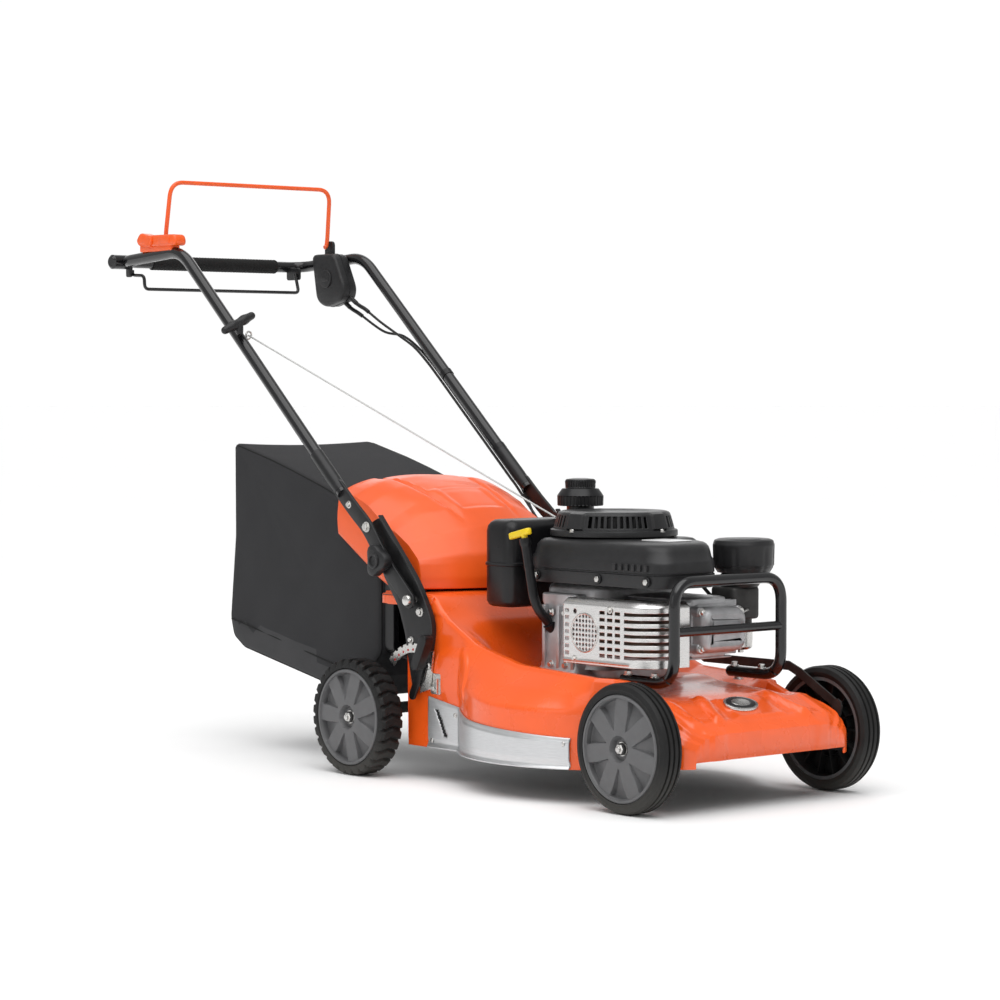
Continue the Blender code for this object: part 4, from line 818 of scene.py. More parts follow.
def hub_shell(centre, faces, side, cover, turn):
    """A wheel disc as a turned profile whose outer face dips into pockets and whose back carries ribs."""
    inner, outer = faces
    rows = []
    marks = []
    web = outer - 0.013
    back = np.linspace(0.018, cover - 0.007, 16)
    rows += [(0.0063, inner + 0.003), (0.0180, inner + 0.003), (0.0180, web)]
    marks += [0, 0, 0]
    rows += [(r, web) for r in back]
    marks += [1] * len(back)
    rows += [(cover - 0.006, inner + 0.004), (cover, inner + 0.004), (cover, outer - 0.0015),
             (cover - 0.0015, outer),
             (cover - 0.0050, outer), (cover - 0.0062, outer - 0.0030)]
    marks += [0] * 6
    front = np.linspace(cover - 0.0068, 0.0215, 40)
    rows += [(r, outer - 0.0030) for r in front]
    marks += [2] * len(front)
    rows += [(0.0190, outer - 0.0040), (0.0170, outer - 0.0090), (0.0063, outer - 0.0090)]
    marks += [0] * 3
    profile, mark = np.array(rows), np.array(marks)[:, None]
    count = 336
    angle = np.linspace(0, 2 * math.pi, count, endpoint=False)[None, :]
    r = np.repeat(profile[:, :1], count, 1)
    y = np.repeat(profile[:, 1:2], count, 1)
    share = r / cover
    dome = 0.0035 * (1 - smooth_step(share, 0.15, 0.95))
    pocket = wheel_face(angle, share, 7, turn)
    floor = 0.0100 * pocket * (0.35 + 0.65 * smooth_step(share, 0.40, 0.9))
    y = np.where(mark == 2, y + dome - floor, y)
    rib = smooth_step(np.abs(np.cos(7 * angle)), 0.970, 0.985) + np.exp(-((share - 0.55) / 0.02) ** 2)
    y = np.where(mark == 1, y - 0.014 * np.clip(rib, 0, 1) * smooth_step(share, 0.2, 0.26), y)
    rings = np.stack([centre[0] + r * np.cos(angle), side * y, centre[1] + r * np.sin(angle)], 2)
    points, quad, _ = loft(rings, wrap_rows=True)
    row_of = np.repeat(np.arange(len(rows)), count)
    # The bore and the back of the disc take the near-black finish as painted shade.
    dark = ((row_of < 3 + len(back)).astype(int)).tolist()
    return points, quad, dark


def wheels():
    """Four wheels: tyres, discs with pockets, hub nuts."""
    for where, centre, faces, cover, turn in (("front", FRONT_AXLE, (0.207, 0.251), 0.0868, 0.30),
                                              ("rear", REAR_AXLE, (0.225, 0.272), 0.0838, 0.55)):
        for side, name in ((-1, "right"), (1, "left")):
            body = "wheel_%s_%s" % (where, name)
            if where == "front":
                profile = front_tyre_profile(cover + 0.0003, faces)
                shell = lathe([(r, side * y) for r, y in profile], centre, "Y", 160, None, 0, True)
            else:
                inner, outer = faces
                r = 0.1017
                line = [(cover + 0.0003, inner + 0.003), (0.0868, inner), (0.0900, inner),
                        (0.0945, inner + 0.0002),
                        (r - 0.003, inner + 0.0012), (r, inner + 0.006)]
                line += [(r, y) for y in np.linspace(inner + 0.008, outer - 0.008, 9)]
                line += [(r, outer - 0.006), (r - 0.003, outer - 0.0012), (0.0945, outer - 0.0002),
                         (0.0900, outer),
                         (0.0868, outer), (cover + 0.0003, outer - 0.003)]
                shell = lathe([(rr, y) for rr, y in line], centre, "Y", 360, rear_tread, 0, True)
                shell = (shell[0] * np.array([1.0, side, 1.0]), shell[1], 0)
            piece("tyre_%s_%s_tread" % (where, name), [shell], [LOOKS["rubber"]], body,
                  ("tyre_%s_%s" % (where, name),), 32)
            points, quad, dark = hub_shell(centre, faces, side, cover, turn)
            piece("hub_%s_%s_disc" % (where, name), [(points, quad, 0)],
                  [LOOKS["wheel"], LOOKS["wheel_back"]], body,
                  ("hub_%s_%s" % (where, name),), 34, face_looks=dark)
            at = faces[1] - 0.009
            nut = bolt(centre, "Y", at, at + 0.0095, 0.0088)
            nut.append(slab(disc(centre, 0.0050, 24), at, at + 0.0125, 0.0012, "Y"))
            if side < 0:
                nut = [mirrored(s) for s in nut]
            piece("wheel_nut_%s_%s" % (where, name), nut, [LOOKS["zinc"]], body)


# ---------------------------------------------------------------- engine

SHROUD_RING = [(0.304, -0.100), (0.337, -0.132), (0.630, -0.132), (0.655, -0.108), (0.655, -0.010),
               (0.610, 0.034),
               (0.525, 0.045), (0.500, 0.120), (0.330, 0.120), (0.304, 0.095)]


def shroud():
    """Blower housing: one outline drawn in level by level, with a seam groove at mid height."""
    ring = corners(SHROUD_RING, 0.020, 7)
    centre = np.array([0.440, 0.0])
    rings = []
    for z, scale, inset in ((0.3520, 0.985, 0.0), (0.3510, 0.995, 0.0), (0.3530, 1.0, 0.0),
                            (0.3715, 1.0, 0.0),
                            (0.3725, 1.0, 0.0024), (0.3745, 1.0, 0.0024), (0.3755, 0.998, 0.0),
                            (0.3905, 0.995, 0.0),
                            (0.3950, 0.985, 0.0), (0.3990, 0.965, 0.0), (0.4100, 0.945, 0.0),
                            (0.4160, 0.930, 0.0),
                            (0.4200, 0.905, 0.0), (0.4225, 0.870, 0.0), (0.4240, 0.80, 0.0),
                            (0.4245, 0.60, 0.0)):
        at = centre + (offset(ring, inset) - centre) * scale
        rings.append(np.column_stack([at, np.full(len(at), z)]))
    shells = [loft(rings)]
    shells.append(lathe(soft_profile([(0.0005, 0.4010), (0.021, 0.4010), (0.021, 0.4130), (0.014, 0.4200),
                                      (0.0005, 0.4215)],
                                     0.005), (0.345, -0.098), "Z", 36))
    for x in np.linspace(0.545, 0.620, 6):
        shells.append(box_slab((x - 0.0035, -0.1345, 0.3790), (x + 0.0035, -0.1290, 0.3900), 0.0015, 0.0008,
                               "Y"))
    piece("blower_housing", shells, [LOOKS["charcoal"]], "chassis", ("blower_shroud",),
          34)
    screws = []
    for x, z in ((0.352, 0.3620), (0.505, 0.3620), (0.622, 0.3620)):
        screws.append(slab(disc((x, z), 0.0085, 28), -0.1352, -0.1310, 0.0012, "Y"))
        screws.append(slab(disc((x, z), 0.0055, 6), -0.1372, -0.1350, 0.0008, "Y", 1))
    piece("housing_screws", screws, [LOOKS["black"], LOOKS["zinc"]], "chassis")
    plate = box_slab((0.532, -0.062, 0.4243), (0.600, -0.006, 0.4258), 0.006, 0.0004)
    piece("blank_label_plate", [plate], [LOOKS["label"]], "chassis")


def recoil():
    """Starter cover: a cone of slots in four groups between plain bosses, over a wider rim."""
    rows = np.array([(0.1075, 0.4263), (0.1090, 0.4275), (0.1090, 0.4350), (0.1080, 0.4372), (0.1050, 0.4380),
                     (0.1035, 0.4386)] + [(np.interp(z, [0.4386, 0.4640], [0.1035, 0.0962]), z)
                                          for z in np.linspace(0.4395, 0.4630, 18)]
                    + [(0.0950, 0.4655), (0.0925, 0.4675), (0.0880, 0.4688), (0.0800, 0.4690),
                       (0.0640, 0.4684),
                       (0.0600, 0.4668), (0.0300, 0.4668), (0.0040, 0.4672)])
    count = 480
    angle = np.linspace(0, 2 * math.pi, count, endpoint=False)[None, :]
    r = np.repeat(rows[:, :1], count, 1)
    z = np.repeat(rows[:, 1:], count, 1)
    turn = np.degrees(angle + math.radians(6)) % 90
    boss = smooth_step(-turn, -24, -21) * smooth_step(turn, 2, 5)
    wall = smooth_step(z, 0.4392, 0.4400) * smooth_step(-z, -0.4668, -0.4655) * smooth_step(r, 0.085, 0.092)
    r = r + 0.0040 * boss * wall
    rings = np.stack([BLADE_CENTRE + r * np.cos(angle), r * np.sin(angle), z], 2)
    mid = (turn + 360 / count / 2)
    slot = ((mid - 28) % 6.2 < 3.3) & (mid > 28) & (mid < 88)
    rows_mid = 0.5 * (rows[:-1, 1] + rows[1:, 1])[:, None]
    on_wall = (rows_mid > 0.4420) & (rows_mid < 0.4618) & (rows[:-1, :1] > 0.09)
    keep = ~(slot & on_wall)
    faces = quads(len(rows), count, False, True, keep)
    faces.append([(len(rows) - 1) * count + k for k in range(count)])
    piece("starter_cover", [(rings.reshape(-1, 3), faces, 0)], [LOOKS["charcoal"]], "chassis",
          ("recoil_cover",), 34, 0.0026)
    # A black band just inside the slotted wall: painted shade that makes the slots read dark.
    dark = lathe([(0.070, 0.4270), (0.0895, 0.4275), (0.0880, 0.4600), (0.070, 0.4610)], (BLADE_CENTRE, 0.0),
                 "Z", 64)
    piece("starter_slot_painted_shade", [dark], [LOOKS["black"]], "chassis")
    heads = []
    for degrees in (12, 102, 192, 282):
        a = math.radians(degrees - 6)
        heads += bolt((BLADE_CENTRE + 0.1062 * math.cos(a), 0.1062 * math.sin(a)), "Z", 0.4352, 0.4400,
                      0.0040)
    piece("cover_bolts", heads, [LOOKS["zinc"]], "chassis")


def tank_and_caps():
    """Fuel tank, ribbed cap, air filter, oil tube and dipstick."""
    outline = corners([(0.212, -0.137), (0.2895, -0.137), (0.2895, 0.110), (0.212, 0.110)], 0.026, 9)
    levels = [(0.302, 0.010), (0.305, 0.004), (0.312, 0.0), (0.372, 0.0), (0.3735, -0.0022),
              (0.3775, -0.0022), (0.379, 0.0),
              (0.432, 0.0), (0.441, 0.0022), (0.447, 0.007), (0.4510, 0.014), (0.4520, 0.022)]
    shells = [stack(outline, levels)]
    shells.append(lathe(soft_profile([(0.030, 0.440), (0.030, 0.4545), (0.0225, 0.4580), (0.0225, 0.4640),
                                      (0.018, 0.4640)],
                                     0.002), FUEL_NECK, "Z", 48))
    piece("tank_body", shells, [LOOKS["black"]], "chassis", ("fuel_tank",), 36)

    def ribs(angle, radius, place):
        """Thirty-six small ridges on the cap's two skirts."""
        lower = smooth_step(-place, -0.4900, -0.4885) * smooth_step(place, 0.4725,
                                                                    0.4740) * smooth_step(radius, 0.036,
                                                                                          0.039)
        upper = smooth_step(place, 0.5040, 0.5055) * smooth_step(-place, -0.5170, -0.5150)
        ridge = smooth_step(np.cos(36 * angle), 0.0, 0.6)
        return -0.0013 * (1 - ridge) * np.clip(lower + upper, 0, 1)

    profile = soft_profile([(0.0240, 0.4643), (0.0240, 0.4716), (0.0392, 0.4720), (0.0402, 0.4735),
                            (0.0405, 0.4895),
                            (0.0380, 0.4935), (0.0320, 0.5020), (0.0262, 0.5030), (0.0270, 0.5150),
                            (0.0245, 0.5185),
                            (0.0120, 0.5200), (0.0010, 0.5200)], 0.0016)
    piece("cap_body", [lathe(profile, FUEL_NECK, "Z", 288, ribs)], [LOOKS["black"]], "cap",
          ("fuel_cap",), 30)

    def facets(angle, radius, place):
        """Twelve shallow flutes down the filter cover's side."""
        return -0.0011 * np.abs(np.cos(6 * angle)) ** 8 * smooth_step(-place, -0.4150,
                                                                      -0.4050) * smooth_step(radius, 0.03,
                                                                                             0.05)

    profile = soft_profile([(0.0420, 0.3680), (0.0440, 0.3682), (0.0490, 0.3760), (0.0500, 0.3800),
                            (0.0512, 0.3805),
                            (0.0520, 0.4150), (0.0495, 0.4225), (0.0430, 0.4250), (0.0300, 0.4238),
                            (0.0280, 0.4250),
                            (0.0010, 0.4250)], 0.0030)
    piece("filter_cover", [lathe(profile, (0.600, 0.112), "Z", 144, facets)], [LOOKS["charcoal"]], "chassis",
          ("air_filter_cover",), 34)
    top, foot = np.array([0.343, -0.152, 0.424]), np.array([0.366, -0.149, 0.310])
    way = (foot - top) / np.linalg.norm(foot - top)
    route = respaced(rounded_path([top, foot, (0.372, -0.1165, 0.275)], 0.024, 10), 60)
    run = np.linspace(0, 1, 60)
    radius = 0.0082 + 0.0016 * smooth_step(-run, -0.09, -0.06) + 0.0008 * np.exp(-((run - 0.30) / 0.012) ** 2)
    pipe = [tube(route, radius, 24, (0, 1, 0))]
    pipe.append(tube(np.array([(0.372, -0.122, 0.2815), (0.3725, -0.1175, 0.2765), (0.373, -0.110, 0.2715)]),
                     0.0125, 24,
                     (1, 0, 0)))
    piece("oil_pipe", pipe, [LOOKS["black"]], "chassis", ("oil_filler_tube",), 40)
    tab = slab(corners([(-0.036, -0.0055), (0.016, -0.0055), (0.016, 0.0055), (-0.036, 0.0055)], 0.0050), 0.0,
               0.0115, 0.0026)
    stick = [turned_by(tab, -13, (0, 0, 0), top - way * 0.004)]
    stick.append(tube(np.array([top - way * 0.012, top + way * 0.002, top + way * 0.088]),
                      [0.0062, 0.0050, 0.0024], 16,
                      (0, 1, 0)))
    piece("dipstick_pull", stick, [LOOKS["yellow"]], "oil_dipstick", ("dipstick",), 40)


def guard_point(s, inward):
    """A point of the guard's plan at distance s along it, drawn in by a depth: straight, quarter circle, straight."""
    straight, radius = 0.156, 0.050
    bend = radius * math.pi / 2
    angle = np.clip((s - straight) / radius, 0, math.pi / 2)
    x = np.where(s < straight, 0.446 + s, 0.602 + (radius - inward) * np.sin(angle))
    y = np.where(s < straight, -0.156 + inward, -0.106 - (radius - inward) * np.cos(angle))
    past = np.clip(s - straight - bend, 0, None)
    return x, y + past


def muffler_guard():
    """Bright slotted guard: a bent wall with rows of slots, a ring of holes and a chamfered top."""
    s = np.linspace(0.0, 0.2765, 300)
    zs = np.concatenate([np.linspace(0.222, 0.3200, 112), [0.3215, 0.3235, 0.3290, 0.3300, 0.3300]])
    inward = np.concatenate([np.zeros(112), [0.0006, 0.0022, 0.0100, 0.0125, 0.0340]])
    grid = np.zeros((len(s), len(zs), 3))
    for k, (z, depth) in enumerate(zip(zs, inward)):
        grid[:, k, 0], grid[:, k, 1] = guard_point(s, depth)
        grid[:, k, 2] = z
    crease = 0.0010 * np.exp(-((zs - 0.2275) / 0.0016) ** 2)[None, :]
    grid[..., 1] -= crease * (s < 0.16)[:, None]
    sm = (0.5 * (s[:-1] + s[1:]))[:, None]
    zm = (0.5 * (zs[:-1] + zs[1:]))[None, :]
    row = (zm - 0.2360) / 0.0118
    level = (row % 1.0 < 0.46) & (row > 0) & (row < 6.5)
    wide = (sm > 0.147) & (sm < 0.238) & level
    dashes = (sm > 0.088) & (sm < 0.141) & (((sm - 0.088) % 0.0185) < 0.0125) & level
    left = (sm > 0.004) & (sm < 0.0130) & level
    reach = np.hypot(sm - 0.052, zm - 0.274)
    spot = np.hypot((sm - 0.052) % 0.0078 - 0.0039, (zm - 0.274) % 0.0078 - 0.0039) < 0.0025
    holes = (reach < 0.0300) & spot
    eyes = (np.hypot(sm - 0.028, zm - 0.3085) < 0.0042) | (np.hypot(sm - 0.118, zm - 0.3140) < 0.0030)
    keep = ~(wide | dashes | left | holes | eyes)
    piece("silencer_guard", [(grid.reshape(-1, 3), quads(len(s), len(zs), keep=keep), 0)], [LOOKS["guard"]],
          "chassis",
          ("muffler_guard",), 30, 0.0014)
    ring = lathe([(0.0300, -0.1566), (0.0316, -0.1574), (0.0332, -0.1566), (0.0332, -0.1555),
                  (0.0300, -0.1555)],
                 (0.498, 0.274), "Y", 60, None, 0, True)
    heads = [ring] + bolt((0.560, 0.3150), "Y", -0.1560, -0.1610, 0.0046) + bolt((0.474, 0.2300), "Y",
                                                                                 -0.1560, -0.1605, 0.004)
    piece("guard_fittings", heads, [LOOKS["zinc"]], "chassis")
    shells = [box_slab((0.4885, -0.1350, 0.236), (0.619, -0.0560, 0.326), 0.014, 0.010)]
    shells.append(box_slab((0.4870, -0.1360, 0.279), (0.6205, -0.0553, 0.284), 0.014, 0.001))
    piece("silencer", shells, [LOOKS["muffler"]], "chassis", ("muffler",))


def engine():
    """Crankcase, finned cylinder, rocker cover, intake and their bolts."""
    shells = []
    case = corners([(0.325, -0.080), (0.345, -0.105), (0.460, -0.105), (0.485, -0.080), (0.485, 0.080),
                    (0.460, 0.105),
                    (0.345, 0.105), (0.325, 0.080)], 0.012, 5)
    shells.append(stack(case, [(0.2065, -0.004), (0.212, 0.0), (0.240, 0.0), (0.241, -0.0025),
                               (0.246, -0.0025), (0.247, 0.0),
                               (0.338, 0.003), (0.344, 0.006), (0.348, 0.012)]))
    shells.append(slab(disc((0.400, 0.0), 0.104, 72, 0.0025, 8), 0.1904, 0.2065, 0.0025))
    column = corners([(0.352, -0.1240), (0.440, -0.1240), (0.446, -0.100), (0.346, -0.100)], 0.008, 5)
    shells.append(stack(column, [(0.1920, -0.012), (0.1990, -0.010), (0.2080, -0.002), (0.2300, 0.002),
                                 (0.3100, 0.004),
                                 (0.3180, 0.001), (0.3300, 0.001), (0.3320, 0.003)]))
    for x in (0.362, 0.398, 0.434):
        shells.append(box_slab((x - 0.0035, -0.1275, 0.200), (x + 0.0035, -0.115, 0.312), 0.002, 0.0015))
    fins = 9
    for i in range(fins):
        z = 0.2300 + 0.0122 * i
        x_end = 0.6270 if i < 8 else 0.600
        shells.append(box_slab((0.486, -0.054, z), (x_end, 0.064, z + 0.0032), 0.014, 0.0012))
    shells.append(box_slab((0.480, -0.036, 0.232), (0.6280, 0.046, 0.332), 0.010, 0.004))
    for x in (0.610, 0.622):
        shells.append(box_slab((x, -0.058, 0.236), (x + 0.0032, 0.070, 0.326), 0.001, 0.001))
    shells.append(box_slab((0.487, -0.055, 0.246), (0.510, -0.030, 0.320), 0.003, 0.003))
    piece("crankcase", shells, [LOOKS["cast"]], "chassis", ("engine_block",), 32)
    cover = corners([(-0.042, 0.250), (-0.032, 0.238), (0.046, 0.238), (0.066, 0.250), (0.066, 0.306),
                     (0.050, 0.321),
                     (-0.030, 0.321), (-0.042, 0.308)], 0.010, 6)
    head = [stack(cover, [(0.6283, 0.0), (0.6325, 0.0), (0.6335, 0.0030), (0.6490, 0.0042), (0.6560, 0.0065),
                          (0.6600, 0.0105),
                          (0.6618, 0.0150), (0.6605, 0.0185), (0.6605, 0.0240)], "X")]
    for y, z in ((-0.034, 0.250), (0.056, 0.252), (0.055, 0.309), (-0.033, 0.310)):
        head.append(lathe(soft_profile([(0.0088, 0.6283), (0.0088, 0.6450), (0.0070, 0.6480),
                                        (0.0005, 0.6484)], 0.001),
                          (y, z), "X", 28))
    head.append(box_slab((0.6600, -0.018, 0.272), (0.6640, 0.040, 0.277), 0.002, 0.001))
    head.append(box_slab((0.6600, -0.018, 0.286), (0.6640, 0.040, 0.291), 0.002, 0.001))
    piece("valve_cover", head, [LOOKS["cast"]], "chassis", ("rocker_cover",), 34)
    heads = []
    for y, z in ((-0.034, 0.250), (0.056, 0.252), (0.055, 0.309), (-0.033, 0.310)):
        heads += bolt((y, z), "X", 0.6480, 0.6540, 0.0052)
    for x, z in ((0.380, 0.212), (0.416, 0.212), (0.380, 0.300), (0.416, 0.300)):
        heads += bolt((x, z), "Y", -0.1240, -0.1305, 0.0050)
    for degrees in range(20, 360, 45):
        a = math.radians(degrees)
        heads += bolt((0.400 + 0.096 * math.cos(a), 0.096 * math.sin(a)), "Z", 0.2062, 0.2125, 0.0052)
    piece("engine_bolts", heads, [LOOKS["zinc"]], "chassis")
    intake = [box_slab((0.560, 0.0700, 0.290), (0.620, 0.1340, 0.345), 0.012, 0.006),
              lathe(soft_profile([(0.030, 0.344), (0.034, 0.350), (0.034, 0.3640), (0.030, 0.3676)], 0.002),
                    (0.596, 0.108), "Z", 40),
              lathe(soft_profile([(0.013, 0.270), (0.017, 0.276), (0.017, 0.292)], 0.001), (0.592, 0.116),
                    "Z", 32)]
    piece("carburettor_body", intake, [LOOKS["dark_steel"]], "chassis", ("carburettor",), 36)
    bowl = [lathe(soft_profile([(0.0006, 0.2370), (0.0150, 0.2375), (0.0195, 0.2420), (0.0200, 0.2700),
                                (0.0215, 0.2705),
                                (0.0215, 0.2745), (0.0006, 0.2750)], 0.0018), (0.588, 0.118), "Z", 48),
            lathe(soft_profile([(0.0006, 0.2320), (0.0052, 0.2320), (0.0052, 0.2375)], 0.0008),
                  (0.588, 0.118), "Z", 6),
            tube(flowing([(0.628, 0.030, 0.296), (0.640, 0.060, 0.302), (0.626, 0.090, 0.306),
                          (0.604, 0.128, 0.306)], 30),
                 0.0024, 10, (0, 0, 1))]
    piece("float_bowl", bowl, [LOOKS["zinc"]], "chassis")
    lead = flowing([(0.600, 0.0960, 0.2620), (0.602, 0.112, 0.2600), (0.585, 0.128, 0.275),
                    (0.545, 0.110, 0.310),
                    (0.520, 0.090, 0.345)], 48)
    boot = lathe(soft_profile([(0.0060, 0.0660), (0.0064, 0.0720), (0.0098, 0.0730), (0.0102, 0.0980),
                               (0.0075, 0.1035),
                               (0.0010, 0.1040)], 0.0015), (0.600, 0.262), "Y", 28)
    piece("plug_boot", [boot], [LOOKS["black"]], "chassis", ("spark_plug",))
    piece("plug_lead", [tube(lead, 0.0032, 12, (1, 0, 0))], [LOOKS["cable"]], "chassis")


def cage():
    """Glossy tube guard: a rounded hoop with a cross bar and flattened, bolted feet."""
    y, x, z = 0.123, 0.677, 0.199
    route = rounded_path([(0.552, -y, z), (x, -y, z), (x, -y, 0.364), (x, y, 0.364), (x, y, z),
                          (0.552, y, z)], 0.042, 12)
    route = respaced(route, 260)
    run = np.linspace(0, 1, 260)
    ends = smooth_step(run, 0.0, 0.006) * smooth_step(-run, -1.0, -0.994)
    shells = [tube(route, 0.0095 * (0.55 + 0.45 * ends), 28, (0.8, 0.0, 0.6))]
    shells.append(tube(np.array([(x, -y, 0.283), (x + 0.001, 0, 0.283), (x, y, 0.283)]), 0.0078, 20))
    piece("cage_hoop", shells, [LOOKS["tube"]], "chassis", ("cage_guard",), 40)
    bolts = []
    for side in (-1, 1):
        for bx in (0.568, 0.632):
            bolts += bolt((bx, side * y), "Z", 0.2075, 0.2150, 0.0060)
    piece("cage_bolts", bolts, [LOOKS["zinc"]], "chassis")


# ---------------------------------------------------------------- handle and brackets

def on_tube(distance, below=0.0):
    """A point (x, z) at a distance up the handle tube from its foot, some way below its line."""
    foot, bend = np.array(HANDLE_FOOT), np.array(HANDLE_BEND)
    ahead = (bend - foot) / np.linalg.norm(bend - foot)
    down = np.array([ahead[1], -ahead[0]])
    down *= -1 if down[1] > 0 else 1
    return foot + ahead * distance + down * below


def foot_plate(points, half, low, high):
    """A flat strap of even width along a line of (x, z) points, with round ends."""
    p = respaced(rounded_path([(x, z, 0) for x, z in points], 0.03, 8), 40)[:, :2]
    ahead = np.gradient(p, axis=0)
    ahead /= np.linalg.norm(ahead, axis=1, keepdims=True)
    across = np.stack([-ahead[:, 1], ahead[:, 0]], 1)
    a = np.linspace(0, math.pi, 12)[1:-1, None]
    start = p[0] + half * (across[0] * np.cos(a) - ahead[0] * np.sin(a))
    end = p[-1] + half * (across[-1] * np.cos(a) + ahead[-1] * np.sin(a))
    outline = np.concatenate([p + across * half, end, (p - across * half)[::-1], start[::-1]])
    return slab(outline, low, high, 0.0012, "Y")


def handle():
    """Handle tube bent to a U, its straps, sleeve, guides and boxes."""
    y = HANDLE_HALF_WIDTH
    half = [(HANDLE_FOOT[0] - 0.012, y, HANDLE_FOOT[1] + 0.011), (HANDLE_BEND[0], y, HANDLE_BEND[1]),
            (HANDLE_REAR[0], y, HANDLE_REAR[1])]
    corner = [(px, -py, pz) for px, py, pz in half] + half[::-1]
    route = respaced(rounded_path(corner, 0.036, 14), 520)
    shells = [tube(route, 0.0110, 28, TUBE_UP)]
    shells.append(lathe(soft_profile([(0.0100, -0.2440), (0.0140, -0.2405), (0.0140, -0.2050),
                                      (0.0105, -0.2040)], 0.0012),
                        HANDLE_REAR, "Y", 40))
    piece("handle_frame", shells, [LOOKS["tube"]], "handle", ("handle_tube",), 40)
    straps = []
    for side in (-1, 1):
        low, high = sorted((side * 0.2160, side * 0.2220))
        straps.append(foot_plate([(-0.084, 0.500), (-0.040, 0.462), HANDLE_BOLT, KNOB_CENTRE, HANDLE_PIVOT],
                                 0.0145, low, high))
        straps.append(tube(np.array([(-0.150, side * y, 0.5590), (-0.100, side * y, 0.5145),
                                     (-0.078, side * y, 0.4950)]),
                           [0.0122, 0.0126, 0.0116], 24, TUBE_UP))
    straps.append(box_slab((-0.7800, -0.2060, 0.8920), (-0.7640, -0.2000, 0.9180), 0.005, 0.0012, "Y"))
    straps.append(box_slab((-0.7760, 0.1800, 0.8940), (-0.7330, 0.1850, 0.9180), 0.006, 0.0012, "Y"))
    piece("handle_straps", straps, [LOOKS["plate"]], "handle")
    bolts = []
    for side in (-1, 1):
        for place, high, radius in ((HANDLE_BOLT, 0.2285, 0.0070), ((-0.050, 0.471), 0.2270, 0.0050)):
            pair = bolt(place, "Y", 0.2220, high, radius)
            bolts += pair if side > 0 else [mirrored(s) for s in pair]
    piece("strap_bolts", bolts, [LOOKS["zinc"]], "handle")

    def creases(angle, radius, place):
        """Fine rings pressed in the foam sleeve and a slight waist between its ends."""
        return -0.0004 * (1 - np.cos(place * 900)) * smooth_step(radius, 0.0125, 0.0135) * 0.5

    ends = [(0.0113, -0.150), (0.0132, -0.1500), (0.0140, -0.1488)]
    line = ends + [(0.0140, v) for v in np.linspace(-0.148, 0.148, 200)] + [(0.0140, 0.1488),
                                                                            (0.0132, 0.1500), (0.0113, 0.150)]
    sleeve = piece("foam_sleeve", [lathe(line, HANDLE_REAR, "Y", 40, creases, 0, True)], [LOOKS["foam"]],
                   "handle",
                   ("handle_grip",), 50)
    shape = corners([(-0.678, 0.943), (-0.606, 0.943), (-0.584, 0.899), (-0.572, 0.874), (-0.579, 0.850),
                     (-0.634, 0.836),
                     (-0.662, 0.850), (-0.670, 0.894)], 0.014, 7)
    control = [slab(shape, 0.1680, 0.2060, 0.0070, "Y"), stack(offset(shape, -0.0008),
                                                               [(0.1860, 0.0), (0.1880, 0.0)], "Y")]
    control.append(slab(disc((-0.628, 0.893), 0.018, 40), 0.1650, 0.1700, 0.0016, "Y"))
    control.append(box_slab((-0.640, 0.1640, 0.888), (-0.616, 0.1700, 0.898), 0.003, 0.0015, "Y"))
    control.append(box_slab((-0.674, 0.1995, 0.934), (-0.646, 0.2055, 0.970), 0.009, 0.0015, "Y"))
    for start, end in (((-0.594, 0.189, 0.866), (-0.5655, 0.1962, 0.8440)),
                       ((-0.616, 0.192, 0.858), (-0.5915, 0.2002, 0.8365))):
        control.append(tube(respaced([start, end], 8), [0.0058] * 4 + [0.0046] * 4, 18, TUBE_UP))
    piece("control_housing", control, [LOOKS["charcoal"]], "handle", ("control_box",), 36)
    shape = corners([(-0.707, 0.9600), (-0.700, 0.9490), (-0.672, 0.9465), (-0.576, 0.9465), (-0.574, 0.9575),
                     (-0.580, 0.9680),
                     (-0.672, 0.9690), (-0.694, 0.9745)], 0.0065, 6)
    cover = [slab(shape, -0.2320, -0.2040, 0.0050, "Y"),
             lathe(soft_profile([(0.0090, -0.2360), (0.0110, -0.2345), (0.0112, -0.2300)], 0.001),
                   (-0.660, 0.957), "Y", 32),
             box_slab((-0.630, -0.2335, 0.9510), (-0.592, -0.2310, 0.9640), 0.004, 0.001, "Y"),
             box_slab((-0.698, -0.2280, 0.9370), (-0.592, -0.2080, 0.9500), 0.003, 0.0015, "Y")]
    piece("bail_cover", cover, [LOOKS["shell"]], "handle", ("bail_housing",), 36)
    clips = []
    for distance in (0.120, 0.330):
        x, z = on_tube(distance)
        x2, z2 = on_tube(distance + 0.012)
        clips.append(tube(np.array([(x, y, z), (x2, y, z2)]), 0.0124, 24, TUBE_UP))
    piece("cable_clips", clips, [LOOKS["black"]], "handle")
    x, z = on_tube(0.450)
    turn = math.pi + 2 * math.pi * 1.1 * np.linspace(0, 1, 46)
    eye = np.stack([x + 0.004 + 0.008 * np.linspace(0, 1, 46), -0.196 + 0.007 * np.cos(turn),
                    z - 0.004 + 0.007 * np.sin(turn)], 1)
    start = np.array([(x - 0.006, -y + 0.0118, z - 0.016), (x - 0.002, -y + 0.0125, z - 0.011)])
    piece("rope_eye", [tube(np.concatenate([start, eye]), 0.0018, 12, (1, 0, 0))], [LOOKS["zinc"]], "handle",
          ("rope_guide",), 60)


